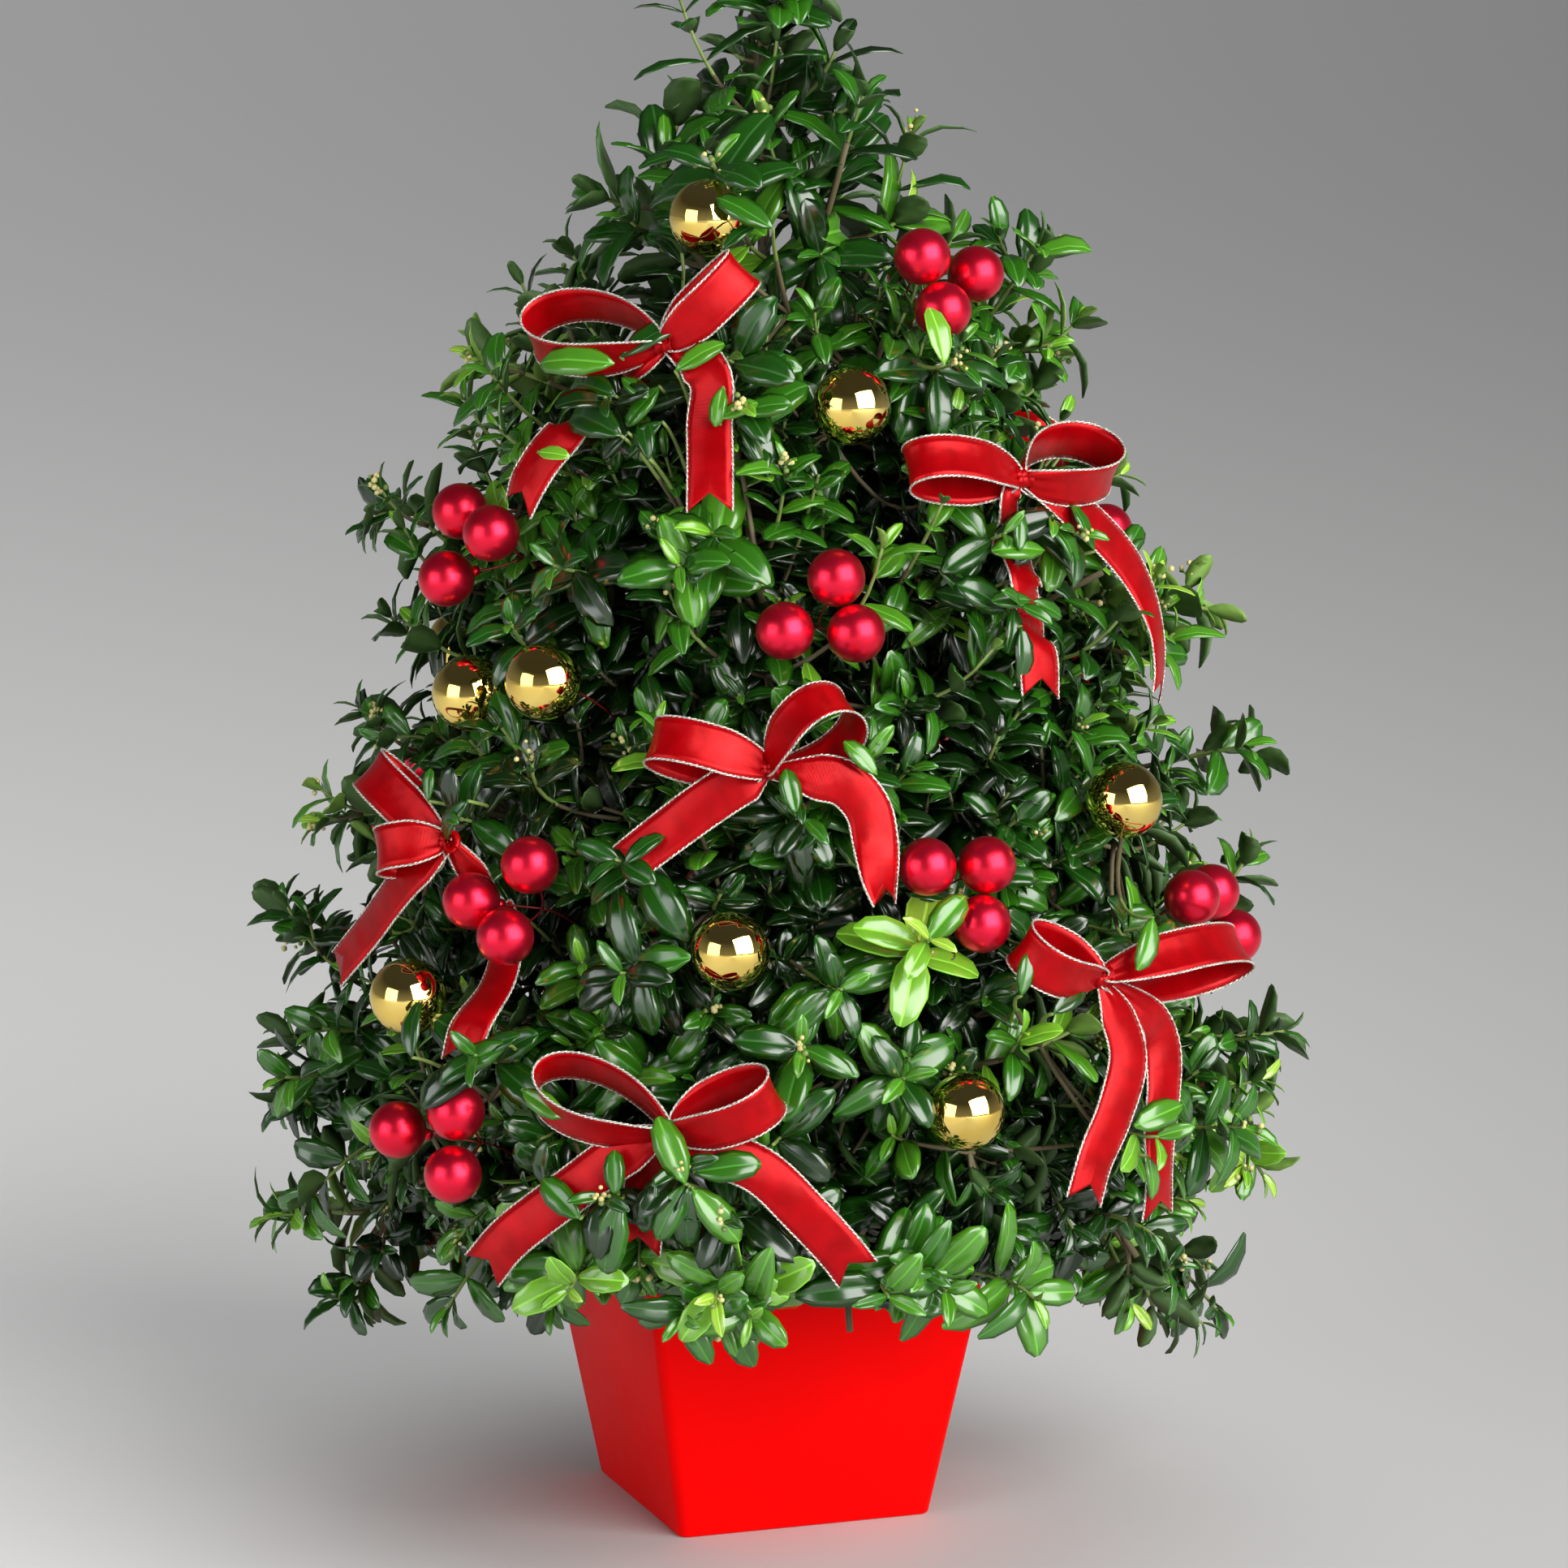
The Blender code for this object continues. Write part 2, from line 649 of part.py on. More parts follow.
def build_mass(limb, index, spots, spaces, leaf, look, rng):
    """One mass of foliage: stem, core, twigs and leaves, fused."""
    group = bpy.data.collections.new(limb.name)
    bpy.context.scene.collection.children.link(group)
    mass = Mass(index, group, spaces, leaf)
    stem_points = stretch(limb.curve, limb.stem_start(), 1, STEM_RINGS)
    stem = new_object("stem", tube(stem_points, taper(STEM_RADIUS, STEM_TIP_RADIUS, STEM_RINGS), STEM_SIDES))
    new_object("core", core_tube(limb, index, spaces), collection=group)
    dress_twig(mass, limb.curve, rng)
    for spot, outward in spots:
        points = twig_points(limb, spot - outward * TWIG_SHORT_OF_SKIN)
        out_of_stem = [point for point in points if (point - points[0]).length > TWIG_ROOT]
        rings = stretch(points, 0, 1, TWIG_RINGS)
        twig = tube(rings, taper(TWIG_RADIUS, TWIG_TIP_RADIUS, TWIG_RINGS), TWIG_SIDES)
        tree = BVHTree.FromBMesh(twig)
        if spaces.allows_shape(out_of_stem, tree, index) and dress_twig(mass, points, rng):
            mass.trees.append(tree)
            new_object("twig", twig, collection=group)
        else:
            twig.free()
    return fuse(f"foliage_{limb.name}", stem, group, look)


def main():
    """Builds the pot, the soil, the trunk, the boughs and the masses of foliage."""
    clear_scene()
    rng = random.Random(SEED)
    bark = material("bark", (0.16, 0.13, 0.07), 0.8)
    limbs = grow_limbs(rng)
    solids = [build_pot(material("red_pot", (0.62, 0.02, 0.02), 0.35)), build_trunk(bark)]
    solids += [build_bough(limb, bark) for limb in limbs if limb.bough]
    build_soil(material("dark_soil", (0.03, 0.02, 0.015), 0.95))
    spaces = Spaces(limbs, [tree_of(obj) for obj in solids])
    spots = [[] for _ in limbs]
    for spot, outward in skin_spots(TWIG_COUNT, rng) + long_shoot_spots():
        spots[spaces.nearest_limb(spot)].append((spot, outward))
    green = material("leaf_green", (0.03, 0.10, 0.02), 0.4)
    leaf = leaf_mesh()
    for index, limb in enumerate(limbs):
        build_mass(limb, index, spots[index], spaces, leaf, green, rng)


main()
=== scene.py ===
"""A potted boxwood Christmas tree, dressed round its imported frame.

Limbs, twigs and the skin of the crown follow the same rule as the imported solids: limbs leave the trunk in
tiers, main twigs run from each limb to even spots on the skin, and fine shoots grow on from those, each in the
space of the limb that it is nearest to. Bows, gold balls and trios of red balls are then set on the skin.
Lengths are in metres, +Z is up, and the origin is the centre of the pot's flat underside.
"""

import json
import logging
import random
from dataclasses import dataclass, field
from enum import Enum, IntEnum
from math import atan2, copysign, cos, degrees, exp, hypot, pi, radians, sin, sqrt
from typing import Callable, Sequence

import bmesh
import bpy
import numpy as np
from mathutils import Euler, Matrix, Vector
from mathutils.bvhtree import BVHTree

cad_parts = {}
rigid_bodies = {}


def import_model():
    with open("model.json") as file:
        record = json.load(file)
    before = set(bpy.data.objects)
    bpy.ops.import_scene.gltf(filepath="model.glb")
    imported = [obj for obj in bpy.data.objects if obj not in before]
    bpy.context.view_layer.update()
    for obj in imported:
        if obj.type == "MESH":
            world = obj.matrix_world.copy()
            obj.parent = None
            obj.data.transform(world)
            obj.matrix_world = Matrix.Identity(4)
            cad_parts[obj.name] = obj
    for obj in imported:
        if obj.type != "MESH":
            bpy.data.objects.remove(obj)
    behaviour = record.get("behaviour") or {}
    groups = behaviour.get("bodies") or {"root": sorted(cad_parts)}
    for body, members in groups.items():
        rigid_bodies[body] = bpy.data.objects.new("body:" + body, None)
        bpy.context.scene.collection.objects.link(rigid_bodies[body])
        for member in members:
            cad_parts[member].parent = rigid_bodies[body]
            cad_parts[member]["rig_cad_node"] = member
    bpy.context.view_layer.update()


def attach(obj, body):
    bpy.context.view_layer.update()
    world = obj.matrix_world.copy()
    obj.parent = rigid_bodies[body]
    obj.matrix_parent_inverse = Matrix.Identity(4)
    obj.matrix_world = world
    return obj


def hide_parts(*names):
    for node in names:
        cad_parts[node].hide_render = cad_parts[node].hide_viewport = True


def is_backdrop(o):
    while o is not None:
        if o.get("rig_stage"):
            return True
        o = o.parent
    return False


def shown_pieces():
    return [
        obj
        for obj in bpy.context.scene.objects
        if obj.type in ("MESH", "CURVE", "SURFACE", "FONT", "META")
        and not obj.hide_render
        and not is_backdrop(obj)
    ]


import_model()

# Short names for types.
Material = bpy.types.Material
Socket = bpy.types.NodeSocket
BMesh = bmesh.types.BMesh
Rows = np.ndarray
Object = bpy.types.Object
Pair = tuple[float, float]
Triple = tuple[float, float, float]
Spots = list[tuple[Vector, Vector]]
log = logging.getLogger("boxwood")
GOLDEN_ANGLE = pi * (3 - sqrt(5))
UP = Vector((0, 0, 1))
ROOT = "root"


# ---- finishes


class Graph:
    """The node tree of a material, or of the world, with short ways to add and link nodes."""

    def __init__(self, name: str, world: bool = False) -> None:
        """Makes a material, or a world, of one shader.

        Args:
            name: Its name.
            world: Whether a world is made.
        """
        self.material = (bpy.data.worlds if world else bpy.data.materials).new(name)
        self.material.use_nodes = True
        self.tree = self.material.node_tree
        self.shader = self.tree.nodes["Background" if world else "Principled BSDF"]

    def set(self, **values: float | tuple) -> "Graph":
        """Sets plain values on the shader's sockets, with _ for a space in their names."""
        for key, value in values.items():
            self.shader.inputs[key.replace("_", " ")].default_value = value
        return self

    def add(self, kind: str, output: str, inputs: dict, **settings: str) -> Socket:
        """Adds a node.

        Args:
            kind: Its type, without the prefix.
            output: The output that is wanted.
            inputs: A value or a socket for each input, by its name or number.
            settings: Its own settings.

        Returns:
            That output.
        """
        node = self.tree.nodes.new(f"ShaderNode{kind}")
        for key, value in settings.items():
            setattr(node, key, value)
        for key, value in inputs.items():
            if isinstance(value, Socket):
                self.tree.links.new(value, node.inputs[key])
            else:
                node.inputs[key].default_value = value
        return node.outputs[output]

    def mapping(self, scale: Sequence[float] = (1, 1, 1), source: str = "Object") -> Socket:
        """Coordinates from the piece itself, scaled."""
        return self.add("Mapping", "Vector", {"Scale": scale, "Vector": self.add("TexCoord", source, {})})

    def noise(self, where: Socket, scale: float, detail: float = 3.0) -> Socket:
        """Noise over the given coordinates."""
        return self.add("TexNoise", "Fac", {"Scale": scale, "Detail": detail, "Vector": where})

    def wave(self, where: Socket, scale: float, direction: str) -> Socket:
        """Even stripes across one direction."""
        return self.add("TexWave", "Fac", {"Scale": scale, "Vector": where}, bands_direction=direction)

    def ramp(self, fac: Socket, stops: Sequence[tuple]) -> Socket:
        """Colours laid out along a value.

        Args:
            fac: The value, from 0 to 1.
            stops: Pairs of a place from 0 to 1 and a colour.

        Returns:
            The colour.
        """
        faded = self.add("ValToRGB", "Color", {"Fac": fac})
        elements = faded.node.color_ramp.elements
        while len(elements) < len(stops):
            elements.new(0.5)
        for element, (place, colour) in zip(elements, stops):
            element.position = place
            element.color = (*colour, 1.0)
        return faded

    def spread(self, fac: Socket, low: float, high: float) -> Socket:
        """A value from 0 to 1 spread between two others."""
        return self.add("MapRange", "Result", {"Value": fac, "To Min": low, "To Max": high})

    def calculate(self, operation: str, *terms: float | Socket) -> Socket:
        """The outcome of one sum of values and plain numbers."""
        return self.add("Math", "Value", dict(enumerate(terms)), operation=operation)

    def bump(self, height: Socket, distance: float, strength: float = 1.0) -> None:
        """Adds relief to the shader's normal, on top of what is there.

        Args:
            height: The relief's height.
            distance: How far a height of 1 stands out, in metres.
            strength: How strongly it shows.
        """
        inputs = {"Distance": distance, "Strength": strength, "Height": height}
        for link in self.shader.inputs["Normal"].links:
            inputs["Normal"] = link.from_socket
        self.drive("Normal", self.add("Bump", "Normal", inputs))

    def drive(self, socket: str, source: Socket) -> None:
        """Links a value or colour to one of the shader's sockets."""
        self.tree.links.new(source, self.shader.inputs[socket])


@dataclass(frozen=True)
class PlainFinish:
    """A finish of one colour, for small things whose colours are dealt out by spray."""

    name: str
    colour: Triple
    roughness: float = 0.4
    coat: float = 0.0
    metallic: float = 0.0
    specular: float = 0.5

    def build(self) -> Material:
        """Makes the material."""
        return Graph(self.name).set(
            Base_Color=(*self.colour, 1.0), Roughness=self.roughness, Metallic=self.metallic, Coat_Weight=self.coat,
            Coat_Roughness=0.12, Specular_IOR_Level=self.specular,
        ).material


@dataclass(frozen=True)
class GrainFinish:
    """A finish whose colour, gloss and relief follow three noises, each given by its scale and detail."""

    name: str
    grain: Pair
    stops: tuple[tuple, ...]
    gloss: Pair
    roughness: Pair
    relief: Pair
    height: float
    strength: float = 1.0
    drawn_out: Triple = (1, 1, 1)
    metallic: float = 0.0
    specular: float = 0.5
    coat: float = 0.0

    def build(self) -> Material:
        """Makes the material."""
        graph = Graph(self.name).set(
            Metallic=self.metallic, Specular_IOR_Level=self.specular, Coat_Weight=self.coat, Coat_Roughness=0.25
        )
        where = graph.mapping(self.drawn_out)
        graph.drive("Base Color", graph.ramp(graph.noise(where, *self.grain), self.stops))
        graph.drive("Roughness", graph.spread(graph.noise(where, *self.gloss), *self.roughness))
        graph.bump(graph.noise(where, *self.relief), self.height, self.strength)
        return graph.material


# Smooth coloured lacquer with a faint orange peel and soft cloudiness.
RED_LACQUER = GrainFinish(
    "red_lacquer", (14, 4), ((0.3, (0.74, 0.0006, 0.0008)), (0.75, (0.84, 0.0006, 0.0006))),
    gloss=(60, 5), roughness=(0.34, 0.48), relief=(700, 2), height=0.00006, strength=0.5, specular=0.04,
)
# Dark, damp potting mix.
POTTING_MIX = GrainFinish(
    "potting_mix", (420, 6),
    ((0.25, (0.006, 0.004, 0.003)), (0.55, (0.030, 0.019, 0.012)), (0.8, (0.085, 0.055, 0.032))),
    gloss=(150, 3), roughness=(0.75, 1.0), relief=(900, 5), height=0.0006, specular=0.3,
)
# Grey-brown bark, cracked lengthwise.
BOXWOOD_BARK = GrainFinish(
    "boxwood_bark", (900, 6), ((0.28, (0.035, 0.026, 0.014)), (0.5, (0.13, 0.10, 0.055)), (0.78, (0.30, 0.25, 0.15))),
    gloss=(300, 3), roughness=(0.65, 0.92), relief=(1100, 5), height=0.0004, drawn_out=(1, 1, 0.22), specular=0.35,
)
# Gold mirror glass with the slightest waviness.
GOLD_MIRROR = GrainFinish(
    "gold_mirror", (70, 2), ((0.3, (0.86, 0.60, 0.13)), (0.7, (0.98, 0.76, 0.24))),
    gloss=(180, 3), roughness=(0.015, 0.06), relief=(130, 2), height=0.00025, strength=0.35, metallic=1.0,
)
# Red satin lacquer on glass: metallic, with a soft pale bloom.
RED_PEARL = GrainFinish(
    "red_pearl", (90, 3), ((0.3, (0.72, 0.006, 0.030)), (0.7, (0.86, 0.010, 0.048))),
    gloss=(600, 4), roughness=(0.27, 0.35), relief=(1500, 2), height=0.00003, strength=0.5, metallic=0.86, coat=0.15,
)


@dataclass(frozen=True)
class RibbonFinish:
    """Satin ribbon: fine weft ribs across it, laid by its own map, with V along it in metres."""

    name: str = "red_satin"

    def build(self) -> Material:
        """Makes the material."""
        graph = Graph(self.name).set(Metallic=0.35, Specular_IOR_Level=0.20)
        cloud = graph.noise(graph.mapping((0.2, 40, 1), "UV"), 3.0, 2)
        stops = [(0.3, (0.34, 0.0004, 0.002)), (0.7, (0.47, 0.0008, 0.004))]
        graph.drive("Base Color", graph.ramp(cloud, stops))
        graph.drive("Roughness", graph.spread(graph.noise(graph.mapping((30, 900, 1), "UV"), 1.0, 3), 0.18, 0.30))
        graph.bump(graph.wave(graph.mapping(source="UV"), 900, "Y"), 0.00004, 0.6)
        graph.bump(graph.noise(graph.mapping((0.4, 55, 1), "UV"), 1.5, 2), 0.0012, 0.40)
        return graph.material


@dataclass(frozen=True)
class WireFinish:
    """Silver tinsel wound round an edge wire, laid by its own map, with V along it in metres."""

    name: str = "silver_edge"

    def build(self) -> Material:
        """Makes the material."""
        graph = Graph(self.name).set(Metallic=0.35)
        stripes = graph.wave(graph.mapping(source="UV"), 420, "DIAGONAL")
        graph.drive("Base Color", graph.ramp(stripes, [(0.15, (0.36, 0.30, 0.22)), (0.5, (0.93, 0.91, 0.86))]))
        graph.drive("Roughness", graph.spread(stripes, 0.5, 0.22))
        graph.bump(stripes, 0.0003)
        return graph.material


class Tone(IntEnum):
    """The greens that sprays of leaves come in, from the oldest to the newest; the deep and dark greens are also
    painted shade for the leaves inside the crown.
    """

    DEEP = 0
    DARK = 1
    MIDDLE = 2
    FRESH = 3
    BRIGHT = 4
    YOUNG = 5


# Deep and dark are also painted shade: leaves inside the crown take them to stand for the shade there.
LEAF_COLOURS = {
    Tone.DEEP: (0.003, 0.020, 0.001),
    Tone.DARK: (0.007, 0.054, 0.002),
    Tone.MIDDLE: (0.022, 0.118, 0.004),
    Tone.FRESH: (0.058, 0.212, 0.009),
    Tone.BRIGHT: (0.135, 0.345, 0.018),
    Tone.YOUNG: (0.270, 0.480, 0.040),
}
RIB_SHARE = 1.75
RIB_LIFT = 0.012
UNDERSIDES = {False: (0.048, 0.108, 0.024), True: (0.160, 0.290, 0.050)}


def leaf_materials() -> list[Material]:
    """The leaves' materials: a blade and a rib for each tone, then an old and a young underside."""
    made = []
    for tone, blade in LEAF_COLOURS.items():
        name = f"leaf_{tone.name.lower()}"
        rib = tuple(RIB_SHARE * value + RIB_LIFT for value in blade)
        made.append(PlainFinish(name, blade, roughness=0.22, coat=0.10, specular=0.90).build())
        made.append(PlainFinish(f"{name}_rib", rib, roughness=0.40, coat=0.15).build())
    for young, colour in UNDERSIDES.items():
        name = "leaf_underside_young" if young else "leaf_underside"
        made.append(PlainFinish(name, colour, roughness=0.55).build())
    return made


# ---- mesh tools


@dataclass
class Shape:
    """A small mesh as arrays, ready to be copied many times.

    A face's part says which of a copy's materials it takes.
    """

    points: Rows
    corners: Rows
    sizes: Rows
    parts: Rows

    @classmethod
    def of(cls, bm: BMesh, parted: bool = True) -> "Shape":
        """Reads a bmesh and frees it.

        Args:
            bm: The bmesh.
            parted: Whether its material indices are its parts, or it is all one part.

        Returns:
            The shape.
        """
        bm.verts.index_update()
        points = np.array([vert.co for vert in bm.verts])
        corners = np.array([vert.index for face in bm.faces for vert in face.verts])
        sizes = np.array([len(face.verts) for face in bm.faces])
        parts = np.array([face.material_index if parted else 0 for face in bm.faces])
        bm.free()
        return cls(points, corners, sizes, parts)


@dataclass
class Bundle:
    """Many copies of shapes, joined into one mesh."""

    copies: list[tuple[Rows, ...]] = field(default_factory=list)
    count: int = 0

    def add(self, shape: Shape, points: Rows | None = None, slots: Sequence[int] = (0,)) -> None:
        """Adds a copy of a shape.

        Args:
            shape: The shape whose faces are copied.
            points: Where the copy's vertices lie, if not where the shape's own do.
            slots: The material slot for each of the shape's parts.
        """
        points = shape.points if points is None else points
        self.copies.append((points, shape.corners + self.count, shape.sizes, np.array(slots)[shape.parts]))
        self.count += len(points)

    def mesh(self, name: str, materials: Sequence[Material]) -> bpy.types.Mesh:
        """The joined mesh, smooth shaded."""
        points, corners, sizes, slots = map(np.concatenate, zip(*self.copies))
        made = bpy.data.meshes.new(name)
        made.vertices.add(len(points))
        made.vertices.foreach_set("co", points.astype(np.float32).ravel())
        made.loops.add(len(corners))
        made.loops.foreach_set("vertex_index", corners.astype(np.int32))
        made.polygons.add(len(sizes))
        made.polygons.foreach_set("loop_start", (np.cumsum(sizes) - sizes).astype(np.int32))
        made.polygons.foreach_set("material_index", slots.astype(np.int32))
        made.polygons.foreach_set("use_smooth", np.ones(len(sizes), bool))
        for material in materials:
            made.materials.append(material)
        made.update(calc_edges=True)
        made.validate()
        return made


def link(name: str, data: bpy.types.ID) -> Object:
    """Puts a mesh, a light or a camera in the scene."""
    obj = bpy.data.objects.new(name, data)
    bpy.context.scene.collection.objects.link(obj)
    return obj


def piece(mesh: bpy.types.Mesh, replaced: Sequence[str] = ()) -> Object:
    """Puts a mesh in the scene as a piece of the object that rides on its body.

    Args:
        mesh: The mesh, named as the piece will be.
        replaced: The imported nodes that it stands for.

    Returns:
        The new object.
    """
    obj = link(mesh.name, mesh)
    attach(obj, ROOT)
    if replaced:
        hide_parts(*replaced)
    log.info("%s: %d faces", obj.name, len(mesh.polygons))
    return obj


def mesh_of(bm: BMesh, name: str, materials: Sequence[Material]) -> bpy.types.Mesh:
    """Turns a bmesh into a smooth shaded mesh and frees it."""
    made = bpy.data.meshes.new(name)
    for face in bm.faces:
        face.smooth = True
    bm.to_mesh(made)
    bm.free()
    for material in materials:
        made.materials.append(material)
    return made


def loft(rings: Sequence[Sequence[Vector]]) -> BMesh:
    """A closed skin over rings of equally many points, capped at both ends.

    Each face keeps in its material index the number of the ring's side that it lies on, and the caps take 0.
    """
    bm = bmesh.new()
    sides = len(rings[0])
    ring = bmesh.ops.create_circle(bm, cap_ends=True, segments=sides, radius=1)["verts"]
    cap = bm.faces[:][0]
    for vert, place in zip(ring, rings[0]):
        vert.co = place
    for step, places in enumerate(rings[1:]):
        grown = bmesh.ops.extrude_face_region(bm, geom=[cap])["geom"]
        new_cap = next(item for item in grown if isinstance(item, bmesh.types.BMFace))
        if step:
            bmesh.ops.delete(bm, geom=[cap], context="FACES_ONLY")
        cap = new_cap
        grown_ring = [next(e.other_vert(v) for e in v.link_edges if e.other_vert(v) in cap.verts) for v in ring]
        for side in range(sides):
            edge = bm.edges.get((grown_ring[side], grown_ring[(side + 1) % sides]))
            for face in edge.link_faces:
                if face is not cap:
                    face.material_index = side
        ring = grown_ring
        for vert, place in zip(ring, places):
            vert.co = place
    bmesh.ops.recalc_face_normals(bm, faces=bm.faces)
    return bm


def pebble() -> Shape:
    """A round body with a radius of one metre, to be scaled down."""
    bm = bmesh.new()
    bmesh.ops.create_icosphere(bm, subdivisions=1, radius=1)
    return Shape.of(bm)


def units(rows: Rows) -> Rows:
    """Rows of vectors, each made one unit long."""
    return rows / np.maximum(np.linalg.norm(rows, axis=1, keepdims=True), 1e-12)


def square_to(rows: Rows, along: Rows) -> Rows:
    """Rows of vectors turned square to unit vectors, and made one unit long."""
    return units(rows - along * np.sum(rows * along, axis=1, keepdims=True))


def read_row(places: Rows, run: Rows, rows: Rows) -> Rows:
    """Rows of three numbers, known at distances along a line, read at other distances."""
    return np.column_stack([np.interp(places, run, rows[:, k]) for k in range(3)])


def tangents_of(points: Rows) -> Rows:
    """Unit directions along a row of points."""
    return units(np.gradient(points, axis=0))


def frames_of(points: Rows, start: Sequence[float] = (0.31, 0.17, 0.93)) -> tuple[Rows, Rows]:
    """Two unit vectors square to a row at each of its points, carried along without twisting.

    Args:
        points: The row.
        start: A direction that the first vector is turned from.

    Returns:
        Both rows of vectors.
    """
    side = np.array(start, float)
    sides, ups = [], []
    for tangent in tangents_of(points):
        side = side - tangent * side.dot(tangent)
        side /= np.linalg.norm(side)
        sides.append(side)
        ups.append(np.cross(tangent, side))
    return np.array(sides), np.array(ups)


def tube(row: Rows, sides: int, radius: Callable[[int, float], float], twist: float = 0.0) -> BMesh:
    """A closed tube.

    Args:
        row: Its middle line.
        sides: How many sides it has.
        radius: Gives the radius from the number of a point of the line and an angle round it.
        twist: How far each ring is turned on from the last, as a share of a full turn.

    Returns:
        Its skin.
    """
    side, up = frames_of(row)
    rings = []
    for index, place in enumerate(row):
        turns = [2 * pi * (corner / sides + index * twist) for corner in range(sides)]
        spokes = [(side[index] * cos(turn) + up[index] * sin(turn)) * radius(index, turn) for turn in turns]
        rings.append([Vector(place + spoke) for spoke in spokes])
    return loft(rings)


def bezier(start: Vector, control: Vector, end: Vector, steps: int) -> list[Vector]:
    """Points along a curve from start to end that leaves towards the control point."""
    shares = [i / steps for i in range(steps + 1)]
    return [start * (1 - t) ** 2 + control * (2 * t * (1 - t)) + end * t**2 for t in shares]


def at_share(points: Sequence[Vector], share: float) -> Vector:
    """The point at a share of the way along a row of evenly spaced points."""
    place = share * (len(points) - 1)
    low = min(int(place), len(points) - 2)
    return points[low].lerp(points[low + 1], place - low)


def stretch(points: Sequence[Vector], start: float, end: float, count: int) -> list[Vector]:
    """A number of points, evenly spaced between two shares of a row."""
    return [at_share(points, start + (end - start) * i / (count - 1)) for i in range(count)]


def polar(azimuth: float, radius: float, height: float) -> Vector:
    """A point from its azimuth in radians, its radius and its height."""
    return Vector((cos(azimuth) * radius, sin(azimuth) * radius, height))


def smooth_row(points: Sequence[Sequence[float]], per_span: int) -> Rows:
    """A Catmull-Rom curve through rows of numbers."""
    row = np.array(points, float)
    row = np.vstack([2 * row[0] - row[1], row, 2 * row[-1] - row[-2]])
    made = []
    for i in range(1, len(row) - 2):
        a, b, c, d = row[i - 1 : i + 3]
        bend, swerve = 2 * a - 5 * b + 4 * c - d, 3 * b - a - 3 * c + d
        made += [0.5 * (2 * b + (c - a) * t + bend * t**2 + swerve * t**3) for t in np.arange(per_span) / per_span]
    made.append(row[-2])
    return np.array(made)


# ---- pot and soil


